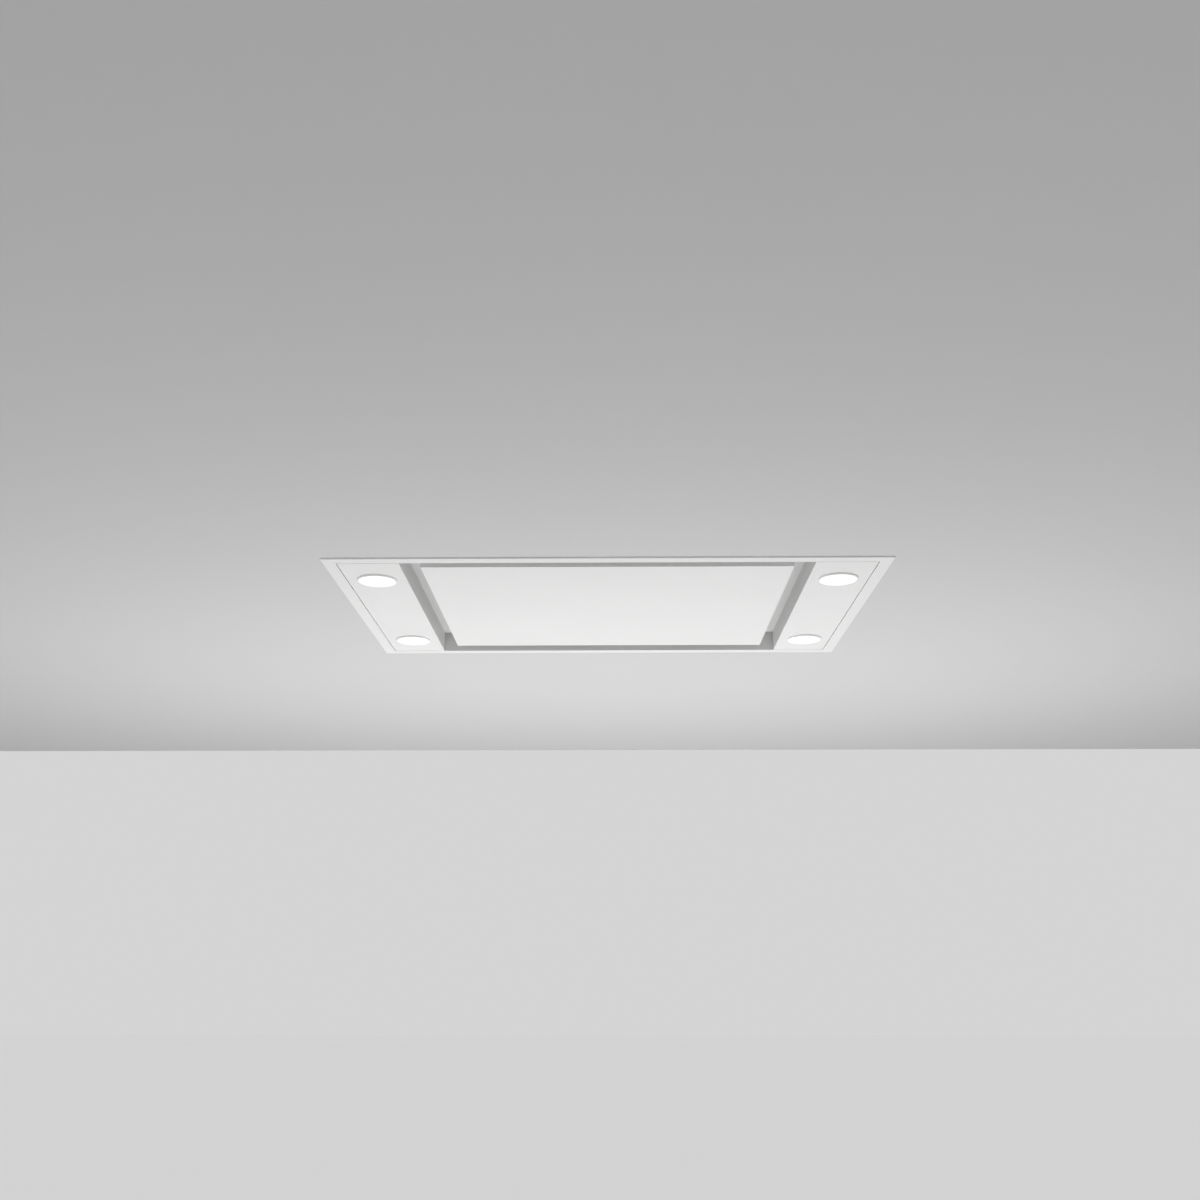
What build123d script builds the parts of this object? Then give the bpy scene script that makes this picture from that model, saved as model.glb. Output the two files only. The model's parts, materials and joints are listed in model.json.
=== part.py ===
"""Ceiling range hood with a perimeter suction panel, four round lamps and a built-in blower.

Millimetres. +Z is up, and the origin is the middle of the hood in the ceiling's lower plane. The rim
hangs just below that plane and the casing stands in the ceiling void above it. -Y is the near side.
"""

import os
from math import acos, cos, degrees, radians, sin, tan

from build123d import *

# ---------------------------------------------------------------- driving dimensions
RIM_LENGTH = 900.0  # outside of the visible rim, along X
RIM_DEPTH = 600.0  # outside of the visible rim, along Y
RIM_BORDER = 20.0  # visible width of the rim
RIM_DROP = 2.4  # the rim's underside below the ceiling
RIM_HEM = 12.0  # folded edge that bears on the ceiling
RIM_EDGE_FILLET = 0.5
SHEET = 1.2  # steel sheet of the rim, casing, panels and carrier
PLATE_FIT = 0.3  # round loose plates and inserted parts

RECESS_HEIGHT = 37.0  # rim underside up to the recess ceiling
SUCTION_GAP = 30.0  # open channel round the centre panel
PANEL_RISE = 2.6  # centre panel's face above the rim's underside
PANEL_EDGE = 15.0  # height of the centre panel's folded edges
PANEL_LIP = 10.0  # inward lip of those edges
PANEL_FILLET = 0.8

LAMP_PANEL = 98.5  # visible width of a lamp panel, along X
LAMP_GAP = 1.5  # joint between a lamp panel and the rim
LAMP_LIP = 12.0  # folded outer edges of a lamp panel
LAMP_FLANGE = 14.0  # top flange of a lamp panel's recess wall
LAMP_SPACING = 385.0  # between the two lamps of one panel, along Y
LAMP_R = 32.5  # bezel radius
LAMP_RING = 7.5  # visible width of the bezel's ring
LAMP_RING_FILLET = 1.0
LAMP_PROUD = 2.8  # bezel below the lamp panel
LAMP_OVERLAP = 4.0  # bezel over the edge of its hole
LAMP_HOLE_FIT = 0.5
LAMP_TUBE_HEIGHT = 9.0
LENS_THICK = 2.0
LENS_INSET = 0.5
LENS_FIT = 0.1
LENS_LEDGE = 1.5
LED_BOARD_THICK = 1.6
LED_SIZE = 5.0
LED_HEIGHT = 0.8
LED_COUNT = 8
LED_RING_R = 15.0
SINK_INSET = 2.0  # heat sink inside the bezel's tube
SINK_BASE = 3.0
SINK_TOP_CLEAR = 7.0  # heat sink below the recess ceiling's plane
SINK_FINS = 9
SINK_FIN_THICK = 1.4
LAMP_SPRING_WIDTH = 8.0
LAMP_SPRING_THICK = 0.8
LAMP_SPRING_REACH = 10.0

CLIP_WIDTH = 30.0
CLIP_SHEET = 0.8
CLIP_RISE = 18.4  # clip's top above the rim's underside
CLIP_SPACING = 230.0

CASING_HEIGHT = 262.0  # top of the casing above the ceiling plane
CASING_FLANGE = 14.0
CARRIER_LIP = 12.0

FILTER_MARGIN_X = 64.0  # recess side wall to the filters
FILTER_MARGIN_Y = 72.0  # recess near and far walls to the filters
FILTER_BRIDGE = 20.0  # between the two filters
FILTER_THICK = 11.0
FILTER_SHEET = 1.0
FILTER_RAIL = 14.0
FILTER_FRONT_RAIL = 30.0
FILTER_CLEAR = 1.0  # round a filter in its seat
FILTER_LEDGE = 6.0
FILTER_TAB = 9.0
FILTER_TAB_WIDTH = 20.0
FILTER_TAB_SPACING = 160.0
PLEAT_PITCH = 9.0
PLEAT_SHEET = 1.1
PLEAT_BITE = 4.0  # how far the pleated mesh enters the rails
PLEAT_FIT = 0.1

LATCH_WIDTH = 16.0
LATCH_THICK = 2.0
LATCH_THROW = 7.0
LATCH_LENGTH = 24.0
LATCH_CLEAR = 0.3
GRIP_WIDTH = 12.0
GRIP_DROP = 6.5
GRIP_INSET = 14.0  # from the bolt's tip
GRIP_THICK = 2.0

HINGE_SPACING = 400.0  # between the two panel hinges, along X
HINGE_SETBACK = 8.0  # pin in from the panel's far edge
HINGE_RISE = 5.3  # pin above the panel's folded edges
HINGE_PIN_R = 2.0
HINGE_PIN_HEAD_R = 3.2
HINGE_PIN_HEAD = 1.5
HINGE_PIN_TAIL = 1.0
HINGE_RUN = 0.05  # running clearance on the pin
HINGE_SCREW_SPACING = 22.0
KNUCKLE_WALL = 1.9
KNUCKLE_WIDTH = 30.0
EAR_WALL = 2.5
EAR_THICK = 2.0
EAR_GAP = 1.0
EAR_BACK = 9.0
LEAF_LENGTH = 30.0
FOOT_LENGTH = 24.0
RAIL_WIDTH = 40.0
RAIL_END_CLEAR = 4.0
CATCH_WIDTH = 44.0
CATCH_DEPTH = 14.0
CATCH_INSET = 22.0  # from the panel's near edge
CATCH_FILLET = 1.5
CATCH_GAP = 0.3
STRIKE_THICK = 1.5

SWITCH_INSET = 15.0  # button from the recess's near wall
SWITCH_WALL = 2.5
SWITCH_RING = 5.0  # visible width of the ring round the button
SWITCH_RING_THICK = 2.0
SWITCH_HEIGHT = 24.0
BUTTON_R = 6.5
BUTTON_PROUD = 3.0
BUTTON_HEIGHT = 14.0
BUTTON_TRAVEL = 2.0
BUTTON_SPARE = 1.0  # room left above the pressed button
BUTTON_FIT = 0.1
BUTTON_FILLET = 1.0

BLOWER_BASE_RISE = 98.0  # blower's underside above the ceiling plane
BLOWER_Y = -45.0
BLOWER_MARGIN = 12.0  # plates beyond the scroll
BUFFER_HEIGHT = 40.0
BUFFER_R = 10.0
BUFFER_INSET = 4.0
SCROLL_CLEAR = 8.0  # impeller to the scroll's tongue
SCROLL_GROWTH = 50.0  # how much wider the scroll is at its mouth than at its tongue
SCROLL_START_ANGLE = 65.0
SCROLL_MOUTH = 165.0  # mouth beyond the impeller's centre
SCROLL_SHEET = 1.0
SCROLL_STEPS = 12
BELL_R = 12.0
INLET_CLEAR = 4.0  # bell mouth inside the impeller's ring
IMPELLER_R = 110.0
IMPELLER_LOW_GAP = 10.0
IMPELLER_TOP_GAP = 15.0
IMPELLER_RING = 2.0
BLADE_COUNT = 36
BLADE_DEPTH = 19.0
BLADE_THICK = 1.2
BLADE_BOW = 5.0
BLADE_BORDER = 1.0  # inlet ring inside the blades
BLADE_TIP = 0.5  # blades inside the ring's outer edge
CUP_CLEAR = 10.0  # motor to the cup round it
CUP_GAP = 8.2  # motor's end to the cup's floor
CUP_WALL = 2.0
HUB_R = 13.0
HUB_LENGTH = 12.0

MOTOR_R = 48.0
MOTOR_WALL = 1.5
MOTOR_ABOVE = 30.0  # motor above the blower's lid
MOTOR_BELOW = 52.0  # motor below the lid's top
MOTOR_FLANGE = 16.0
MOTOR_FLANGE_THICK = 3.0
MOTOR_SCREW_OUT = 9.0
SHAFT_R = 4.0
SHAFT_RUN = 0.05
SHAFT_PORT = 1.0  # round the shaft where it leaves the motor
BEARING_R = 11.0
BEARING_WIDTH = 7.0
BEARING_SEAT = 3.0
ROTOR_R = 27.5
AIR_GAP = 0.8
STATOR_HEIGHT = 40.0
WINDING_HEIGHT = 6.0
WINDING_INSET = 3.5
CAPACITOR_R = 14.0
CAPACITOR_HEIGHT = 34.0
CAPACITOR_FILLET = 1.5
CAPACITOR_AWAY = 20.0  # from the motor's flange
CAPACITOR_NEAR = 60.0  # towards the near side from the motor

DUCT_R = 75.0  # outside of the duct spigot, for 150 mm duct
DUCT_WALL = 1.5
DUCT_REACH = 62.0  # spigot beyond the casing's far wall
DUCT_INSIDE = 38.0  # collar inside the far wall
COLLAR_BORDER = 13.0  # collar's square flange beyond the spigot
COLLAR_FLANGE_THICK = 2.5
COLLAR_FILLET = 8.0
COLLAR_SCREW_INSET = 10.0
TRANSITION_LAP = 8.0
TRANSITION_FILLET = 6.0
FLAP_INSET = 12.0  # flap pin inside the far wall
FLAP_THICK = 0.8
FLAP_CLEAR = 0.8
FLAP_SPLIT = 1.2  # flap's straight edge from the pin's axis
FLAP_PIN_R = 1.5
FLAP_RUN = 0.05
FLAP_KNUCKLE_R = 3.0
FLAP_KNUCKLES = 4
FLAP_KNUCKLE_GAP = 0.4
FLAP_KNUCKLE_INSET = 6.0
FLAP_STOP = 3.0
FLAP_STOP_THICK = 2.0
FLAP_STOP_GAP = 0.3
FLAP_NOTCH = 4.0

CONTROL_INSET = 52.0  # control box from the casing's walls
CONTROL_LENGTH = 180.0
CONTROL_DEPTH = 140.0
CONTROL_HEIGHT = 55.0
CONTROL_WALL = 2.5
CONTROL_LIP = 3.0
CONTROL_SCREW_INSET = 14.0
BOSS_R = 3.5
BOSS_INSET_X = 30.0
BOSS_INSET_Y = 25.0
BOARD_STANDOFF = 12.0
BOARD_THICK = 1.6
BOARD_INSET_X = 22.0
BOARD_INSET_Y = 14.0
TRANSFORMER = (35.0, 30.0, 26.0)  # length, depth and height
RELAY = (15.0, 30.0, 16.0)
CHIP = (25.0, 25.0, 4.0)
TERMINALS = (24.0, 100.0, 14.0)
BOARD_CAPACITOR_R = 9.0
BOARD_CAPACITOR_HEIGHT = 24.0
BOARD_PITCH = 25.0  # between the rows of parts on the board

GLAND_INSET = 30.0  # from the control box's end
GLAND_R = 9.0
GLAND_FLAT = 2.0  # hexagons beyond the gland's thread
GLAND_BORE_R = 4.75
GLAND_HEX_HEIGHT = 6.0
GLAND_HEIGHT = 20.0
GLAND_NUT = 5.0
GLAND_TAIL = 1.0
GLAND_BOARD_CLEAR = 8.0
DRIVER_INSET = 56.2  # from the casing's right wall
DRIVER_LENGTH = 150.0
DRIVER_DEPTH = 42.0
DRIVER_HEIGHT = 28.0
DRIVER_Y = 40.0
DRIVER_EAR = 14.0
DRIVER_FILLET = 2.0

JUNCTION_R = 6.0
JUNCTION_SPIGOT = 8.0
JUNCTION_INSET = 44.0  # from the recess's side wall
JUNCTION_LENGTH = 30.0
JUNCTION_DEPTH = 24.0
JUNCTION_HEIGHT = 10.0
JUNCTION_FILLET = 2.0
MOTOR_LEAD_R = 3.0
LAMP_LEAD_R = 1.75

HANGER_INSET_X = 36.2  # rod from the casing's side walls
HANGER_INSET_Y = 81.2  # rod from the casing's near and far walls
HANGER_RISE = 24.0
HANGER_DECK = 36.0
HANGER_FOOT = 18.0
HANGER_SHEET = 2.5
HANGER_HOLE_R = 4.5  # for M8 threaded rod

SCREW_R = 2.0
SCREW_FIT = 0.15
SCREW_HEAD_R = 4.0
SCREW_HEAD = 2.4
SCREW_TAIL = 4.0
RIM_SCREW_RISE = 18.4  # above the rim's underside
RIM_SCREW_SPACING = 300.0
LAMP_SCREW_SPACING = 200.0
TOP_SCREW_SPACING = 320.0

CUT = 1.0  # how far a cut passes through what it cuts

# ---------------------------------------------------------------- shared places
rim_x, rim_y = RIM_LENGTH / 2, RIM_DEPTH / 2
rim_low = -RIM_DROP
open_x, open_y = rim_x - RIM_BORDER, rim_y - RIM_BORDER
inside_x, inside_y = open_x + SHEET, open_y + SHEET  # casing's inner faces
outside_x, outside_y = inside_x + SHEET, inside_y + SHEET
casing_top_low = CASING_HEIGHT - SHEET

carrier_low = rim_low + RECESS_HEIGHT
carrier_top = carrier_low + SHEET

lamp_out_x, lamp_y = open_x - LAMP_GAP, open_y - LAMP_GAP
lamp_in_x = lamp_out_x - LAMP_PANEL
lamp_plate_top = rim_low + SHEET
lamp_centre_x = (lamp_in_x + lamp_out_x) / 2
lamp_low = rim_low - LAMP_PROUD
lamp_hole_r = LAMP_R - LAMP_OVERLAP
lamp_tube_r = lamp_hole_r - LAMP_HOLE_FIT
lens_r = LAMP_R - LAMP_RING
sink_r = lamp_tube_r - SINK_INSET
led_board_low = rim_low + LAMP_TUBE_HEIGHT
sink_low = led_board_low + LED_BOARD_THICK
sink_top = carrier_low - SINK_TOP_CLEAR
clip_top = rim_low + CLIP_RISE

panel_x, panel_y = lamp_in_x - SUCTION_GAP, open_y - SUCTION_GAP
panel_low = rim_low + PANEL_RISE
panel_top = panel_low + PANEL_EDGE

filter_x = (lamp_in_x - FILTER_MARGIN_X - FILTER_BRIDGE / 2) / 2  # half of a filter's width
filter_y = open_y - FILTER_MARGIN_Y
filter_centre_x = filter_x + FILTER_BRIDGE / 2
filter_low = carrier_low
filter_top = filter_low + FILTER_THICK
latch_low = carrier_top + LATCH_CLEAR
latch_tip = -filter_y - LATCH_THROW
grip_y = (latch_tip + GRIP_INSET, latch_tip + GRIP_INSET + GRIP_THICK)
bolt_slot_top = latch_low + LATCH_THICK + 2 * LATCH_CLEAR

strike_top = panel_top + STRIKE_THICK
hinge_x = HINGE_SPACING / 2
hinge_y = panel_y - HINGE_SETBACK
hinge_z = panel_top + HINGE_RISE
knuckle_r = HINGE_PIN_R + KNUCKLE_WALL
ear_r = HINGE_PIN_R + EAR_WALL
ear_in = KNUCKLE_WIDTH / 2 + EAR_GAP
ear_out = ear_in + EAR_THICK
foot_low = carrier_low - EAR_THICK
foot_mid = hinge_y - EAR_BACK - FOOT_LENGTH / 2
catch_y = -panel_y + CATCH_INSET

switch_y = -open_y + SWITCH_INSET
switch_r = BUTTON_R + SWITCH_WALL
switch_top = carrier_top + SWITCH_HEIGHT

base_top = BLOWER_BASE_RISE + SHEET
lid_top = casing_top_low - BUFFER_HEIGHT
lid_low = lid_top - SHEET
scroll_start_r = IMPELLER_R + SCROLL_CLEAR
scroll_end_r = scroll_start_r + SCROLL_GROWTH
tongue_x = scroll_start_r * cos(radians(SCROLL_START_ANGLE))
blower_x = -(tongue_x + scroll_end_r) / 2  # so that the mouth is in line with the duct
mouth_y = BLOWER_Y + SCROLL_MOUTH
duct_z = (base_top + lid_low) / 2
blade_in_r = IMPELLER_R - BLADE_DEPTH
inlet_r = blade_in_r - BLADE_BORDER - INLET_CLEAR
impeller_low = base_top + IMPELLER_LOW_GAP
impeller_top = lid_low - IMPELLER_TOP_GAP
motor_low = lid_top - MOTOR_BELOW
motor_top = lid_top + MOTOR_ABOVE
motor_flange_r = MOTOR_R + MOTOR_FLANGE
cup_r = MOTOR_R + CUP_CLEAR
cup_low = motor_low - CUP_GAP

collar_in_y = outside_y - DUCT_INSIDE
collar_out_y = outside_y + DUCT_REACH
collar_half = DUCT_R + COLLAR_BORDER
flap_y = outside_y - FLAP_INSET
bore_r = DUCT_R - DUCT_WALL

control_x = inside_x - CONTROL_INSET - CONTROL_LENGTH / 2
control_y = -inside_y + CONTROL_INSET + CONTROL_DEPTH / 2
control_ceiling = casing_top_low - CONTROL_WALL
gland_x, gland_y = control_x + CONTROL_LENGTH / 2 - GLAND_INSET, control_y
driver_x = inside_x - DRIVER_INSET - DRIVER_LENGTH / 2
driver_low = casing_top_low - DRIVER_HEIGHT
junction_x = lamp_in_x + JUNCTION_INSET
junction_top = carrier_top + JUNCTION_SPIGOT

SIGNS = (-1, 1)
SIDES = (("left", -1), ("right", 1))
ENDS = (("near", -1), ("far", 1))
CORNERS = [(sx, sy) for sx in SIGNS for sy in SIGNS]
LAMPS = [(f"{e}_{s}", sx * lamp_centre_x, ey * LAMP_SPACING / 2) for e, ey in ENDS for s, sx in SIDES]


# ---------------------------------------------------------------- helpers
def block(x, y, z):
    """A box given by its pair of ends on each axis."""
    size = [abs(pair[1] - pair[0]) for pair in (x, y, z)]
    middle = [(pair[0] + pair[1]) / 2 for pair in (x, y, z)]
    return Pos(*middle) * Box(*size)


def about(middle, width):
    """The pair of ends of a span centred on middle."""
    return middle - width / 2, middle + width / 2


def plate(half_x, half_y, low, high):
    """A box centred on the Z axis."""
    return block((-half_x, half_x), (-half_y, half_y), (low, high))


def ring(half_x, half_y, wall, low, high):
    """A rectangular ring whose inside measures half_x by half_y."""
    return plate(half_x + wall, half_y + wall, low, high) - plate(half_x, half_y, low - CUT, high + CUT)


def drum(radius, low, high, x=0.0, y=0.0):
    """An upright cylinder."""
    return Pos(x, y, (low + high) / 2) * Cylinder(radius, high - low)


def tube(outer, inner, low, high, x=0.0, y=0.0):
    return drum(outer, low, high, x, y) - drum(inner, low - CUT, high + CUT, x, y)


def lying(radius, low, high, y, z):
    """A cylinder along X."""
    return Pos((low + high) / 2, y, z) * Rotation(0, 90, 0) * Cylinder(radius, high - low)


def ducted(radius, low, high):
    """A cylinder along Y on the duct's axis."""
    return Pos(0, (low + high) / 2, duct_z) * Rotation(90, 0, 0) * Cylinder(radius, high - low)


def lowest_edge(shape):
    return shape.edges().sort_by(Axis.Z)[0]


AIMS = {
    "+z": Rotation(0, 0, 0),
    "-z": Rotation(180, 0, 0),
    "+y": Rotation(-90, 0, 0),
    "-y": Rotation(90, 0, 0),
    "+x": Rotation(0, 90, 0),
    "-x": Rotation(0, -90, 0),
}


def screw(x, y, z, aim, grip):
    """A pan-head screw: its head bears at (x, y, z) and its shank runs along aim through grip."""
    body = drum(SCREW_HEAD_R, -SCREW_HEAD, 0) + drum(SCREW_R, -SCREW_HEAD / 2, grip + SCREW_TAIL)
    return Pos(x, y, z) * AIMS[aim] * body


def holes(places, depth):
    """The holes for screws whose heads bear at the places given."""
    hole = drum(SCREW_R + SCREW_FIT, -CUT, depth + CUT)
    return [Pos(x, y, z) * AIMS[aim] * hole for x, y, z, aim in places]


def save(name, shape):
    """Write one node, which may hold several separate solids."""
    pieces = shape if isinstance(shape, list) else [shape]
    solids = [solid for piece in pieces for solid in piece.solids()]
    whole = Compound(children=solids) if len(solids) > 1 else solids[0]
    export_step(whole, f"parts/{name}.step")
    print(name, len(solids))


# ---------------------------------------------------------------- screw places
rim_screw_z = rim_low + RIM_SCREW_RISE
rim_screws = [(-open_x, s * RIM_SCREW_SPACING / 2, rim_screw_z, "-x") for s in SIGNS]
rim_screws += [(open_x, s * RIM_SCREW_SPACING / 2, rim_screw_z, "+x") for s in SIGNS]
rim_screws += [(s * lamp_centre_x, -open_y, rim_screw_z, "-y") for s in SIGNS]
rim_screws += [(s * lamp_centre_x, open_y, rim_screw_z, "+y") for s in SIGNS]

flange_mid = lamp_in_x + SHEET + (LAMP_FLANGE - SHEET) / 2
lamp_screws = [(s * flange_mid, n * LAMP_SCREW_SPACING, carrier_top, "-z") for s in SIGNS for n in (-1, 0, 1)]

edge_x, edge_y = inside_x - CASING_FLANGE / 2, inside_y - CASING_FLANGE / 2
top_screws = [(n * TOP_SCREW_SPACING, s * edge_y, CASING_HEIGHT, "-z") for n in (-1, 0, 1) for s in SIGNS]
top_screws += [(s * edge_x, 0, CASING_HEIGHT, "-z") for s in SIGNS]

hinge_screws = [
    (sx * hinge_x + sd * HINGE_SCREW_SPACING / 2, foot_mid, foot_low, "+z") for sx, sd in CORNERS
]

hanger_places = [(sx * (inside_x - HANGER_INSET_X), sy * (inside_y - HANGER_INSET_Y)) for sx, sy in CORNERS]
hanger_screw_out = (HANGER_DECK + HANGER_FOOT) / 2
hanger_screws = [
    (x, y + s * hanger_screw_out, CASING_HEIGHT + HANGER_SHEET, "-z") for x, y in hanger_places for s in SIGNS
]

collar_screw_out = collar_half - COLLAR_SCREW_INSET
collar_screws = [
    (sx * collar_screw_out, outside_y + COLLAR_FLANGE_THICK, duct_z + sz * collar_screw_out, "-y")
    for sx, sz in CORNERS
]

motor_screw_out = (MOTOR_R + MOTOR_SCREW_OUT) * cos(radians(45))
motor_screws = [
    (blower_x + sx * motor_screw_out, BLOWER_Y + sy * motor_screw_out, lid_top + MOTOR_FLANGE_THICK, "-z")
    for sx, sy in CORNERS
]

control_screw_x = CONTROL_LENGTH / 2 - CONTROL_SCREW_INSET
control_screw_y = CONTROL_DEPTH / 2 - CONTROL_SCREW_INSET
control_screws = [
    (control_x + sx * control_screw_x, control_y + sy * control_screw_y, CASING_HEIGHT, "-z")
    for sx, sy in CORNERS
]

driver_screw_x = (DRIVER_LENGTH + DRIVER_EAR) / 2
driver_screws = [(driver_x + s * driver_screw_x, DRIVER_Y, CASING_HEIGHT, "-z") for s in SIGNS]

GRIPS = (
    (rim_screws, 2 * SHEET),
    (lamp_screws, 2 * SHEET),
    (top_screws, 2 * SHEET),
    (hinge_screws, EAR_THICK + SHEET),
    (hanger_screws, HANGER_SHEET + SHEET),
    (collar_screws, COLLAR_FLANGE_THICK + SHEET),
    (motor_screws, MOTOR_FLANGE_THICK + SHEET),
    (control_screws, SHEET + CONTROL_WALL),
    (driver_screws, SHEET + CONTROL_WALL),
)


def screws():
    save("screws", [screw(*place, grip) for places, grip in GRIPS for place in places])


# ---------------------------------------------------------------- rim and casing
def rim_frame():
    face = ring(open_x, open_y, RIM_BORDER, rim_low, rim_low + SHEET)
    hem = ring(rim_x - RIM_HEM, rim_y - RIM_HEM, RIM_HEM, rim_low + SHEET, 0)
    collar = ring(open_x, open_y, SHEET, rim_low, carrier_low)
    body = face + hem + collar
    outline = body.edges().group_by(Axis.Z)[0].sort_by(SortBy.LENGTH)
    outer = [e for e in outline if abs(e.center().X) > open_x + SHEET or abs(e.center().Y) > open_y + SHEET]
    save("rim_frame", fillet(outer, RIM_EDGE_FILLET) - holes(rim_screws, SHEET))


def casing_end_wall(sign):
    """The near or far wall, with its top flange and the tabs that lap the side walls."""
    flange_x = inside_x - CASING_FLANGE
    flange_y = inside_y - CASING_FLANGE
    flange_low = casing_top_low - SHEET
    tab_low = carrier_top + CARRIER_LIP + PLATE_FIT
    body = block((-outside_x, outside_x), (sign * inside_y, sign * outside_y), (0, casing_top_low))
    body += block((-inside_x, inside_x), (sign * flange_y, sign * inside_y), (flange_low, casing_top_low))
    for s in SIGNS:
        tab_y = (sign * (inside_y - SHEET), sign * inside_y)
        body += block((s * flange_x, s * inside_x), tab_y, (tab_low, flange_low))
    return body - holes(rim_screws, 2 * SHEET) - holes(top_screws, 2 * SHEET)


def casing_side_wall(sign):
    flange_x = inside_x - CASING_FLANGE
    flange_y = inside_y - CASING_FLANGE - PLATE_FIT
    flange_low = casing_top_low - SHEET
    body = block((sign * inside_x, sign * outside_x), (-inside_y, inside_y), (0, casing_top_low))
    body += block((sign * flange_x, sign * inside_x), (-flange_y, flange_y), (flange_low, casing_top_low))
    return body - holes(rim_screws, 2 * SHEET) - holes(top_screws, 2 * SHEET)


def casing_walls():
    save("casing_near_wall", casing_end_wall(-1))
    outlet = ducted(DUCT_R + PLATE_FIT, inside_y - CUT, outside_y + CUT)
    far_wall = casing_end_wall(1) - outlet - holes(collar_screws, COLLAR_FLANGE_THICK + SHEET)
    save("casing_far_wall", far_wall)
    for name, s in SIDES:
        save(f"casing_{name}_wall", casing_side_wall(s))


def casing_top():
    cuts = holes(top_screws + control_screws + driver_screws, SHEET)
    cuts += holes(hanger_screws, HANGER_SHEET + SHEET)
    cuts.append(drum(GLAND_R + PLATE_FIT, casing_top_low - CUT, CASING_HEIGHT + CUT, gland_x, gland_y))
    save("casing_top", plate(outside_x, outside_y, casing_top_low, CASING_HEIGHT) - cuts)


def hanger_brackets():
    """Omega brackets for the four suspension rods."""
    deck_low = CASING_HEIGHT + HANGER_RISE
    deck_top = deck_low + HANGER_SHEET
    foot_top = CASING_HEIGHT + HANGER_SHEET
    half = HANGER_DECK / 2
    leg_in = half - HANGER_SHEET
    brackets = []
    for x, y in hanger_places:
        across = about(x, HANGER_DECK)
        body = block(across, about(y, HANGER_DECK), (deck_low, deck_top))
        for s in SIGNS:
            body += block(across, (y + s * leg_in, y + s * half), (CASING_HEIGHT, deck_low))
            body += block(across, (y + s * leg_in, y + s * (half + HANGER_FOOT)), (CASING_HEIGHT, foot_top))
        body -= drum(HANGER_HOLE_R, deck_low - CUT, deck_top + CUT, x, y)
        brackets.append(body - holes(hanger_screws, HANGER_SHEET))
    save("hanger_brackets", brackets)


# ---------------------------------------------------------------- lamp panels
def lamp_panels():
    """Each panel folds up on its inner side to make a side wall of the recess."""
    for name, s in SIDES:
        inner, outer = s * lamp_in_x, s * lamp_out_x
        whole_y = (-lamp_y, lamp_y)
        lip = (rim_low, rim_low + LAMP_LIP)
        body = block((inner, outer), whole_y, (rim_low, lamp_plate_top))
        body += block((inner, inner + s * SHEET), whole_y, (rim_low, carrier_low))
        body += block((inner, inner + s * LAMP_FLANGE), whole_y, (carrier_low - SHEET, carrier_low))
        body += block((outer - s * SHEET, outer), whole_y, lip)
        for e in SIGNS:
            body += block((inner, outer), (e * (lamp_y - SHEET), e * lamp_y), lip)
        body -= [drum(lamp_hole_r, rim_low - CUT, lamp_plate_top + CUT, x, y) for _, x, y in LAMPS]
        save(f"lamp_panel_{name}", body - holes(lamp_screws, 2 * SHEET))


def lamp_panel_clips():
    """Spring clips between the rim's collar and the lamp panels' outer lips."""
    lip_in = lamp_out_x - SHEET
    clips = []
    for s, e in CORNERS:
        along = about(e * CLIP_SPACING / 2, CLIP_WIDTH)
        inner = (s * (lip_in - CLIP_SHEET), s * lip_in)
        outer = (s * (open_x - CLIP_SHEET), s * open_x)
        clip = block(outer, along, (rim_low + 2 * SHEET, clip_top))
        clip += block((inner[0], outer[1]), along, (clip_top - CLIP_SHEET, clip_top))
        clip += block(inner, along, (lamp_plate_top + SHEET, clip_top))
        clips.append(clip)
    save("lamp_panel_clips", clips)


def lamp_covers():
    """Each lamp's bezel, with its tube up through the panel, and the lens that sits in it."""
    lens_low = lamp_low + LENS_INSET
    lens_top = lens_low + LENS_THICK
    lenses = []
    for name, x, y in LAMPS:
        flange = drum(LAMP_R, lamp_low, rim_low, x, y)
        flange = fillet(lowest_edge(flange), LAMP_RING_FILLET)
        bezel = flange + drum(lamp_tube_r, rim_low, led_board_low, x, y)
        bezel -= drum(lens_r, lamp_low - CUT, lens_top, x, y)
        bezel -= drum(lens_r - LENS_LEDGE, lamp_low, led_board_low + CUT, x, y)
        save(f"lamp_bezel_{name}", bezel)
        lenses.append(drum(lens_r - LENS_FIT, lens_low, lens_top, x, y))
    save("lamp_lenses", lenses)


def lamp_led_boards():
    """A round board with a ring of chips on its lower face."""
    led = Pos(LED_RING_R, 0, led_board_low - LED_HEIGHT / 2) * Box(LED_SIZE, LED_SIZE, LED_HEIGHT)
    board = drum(sink_r, led_board_low, sink_low)
    board += [Rotation(0, 0, 360 * n / LED_COUNT) * led for n in range(LED_COUNT)]
    save("lamp_led_boards", [Pos(x, y, 0) * board for _, x, y in LAMPS])


def lamp_heat_sinks():
    pitch = 2 * sink_r / SINK_FINS
    slot_low = sink_low + SINK_BASE
    sink = drum(sink_r, sink_low, sink_top)
    for n in range(SINK_FINS):
        middle = (n - (SINK_FINS - 1) / 2) * pitch
        slot_x = about(middle, pitch - SINK_FIN_THICK)
        sink -= block(slot_x, (-2 * sink_r, 2 * sink_r), (slot_low, sink_top + CUT))
    save("lamp_heat_sinks", [Pos(x, y, 0) * sink for _, x, y in LAMPS])


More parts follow.
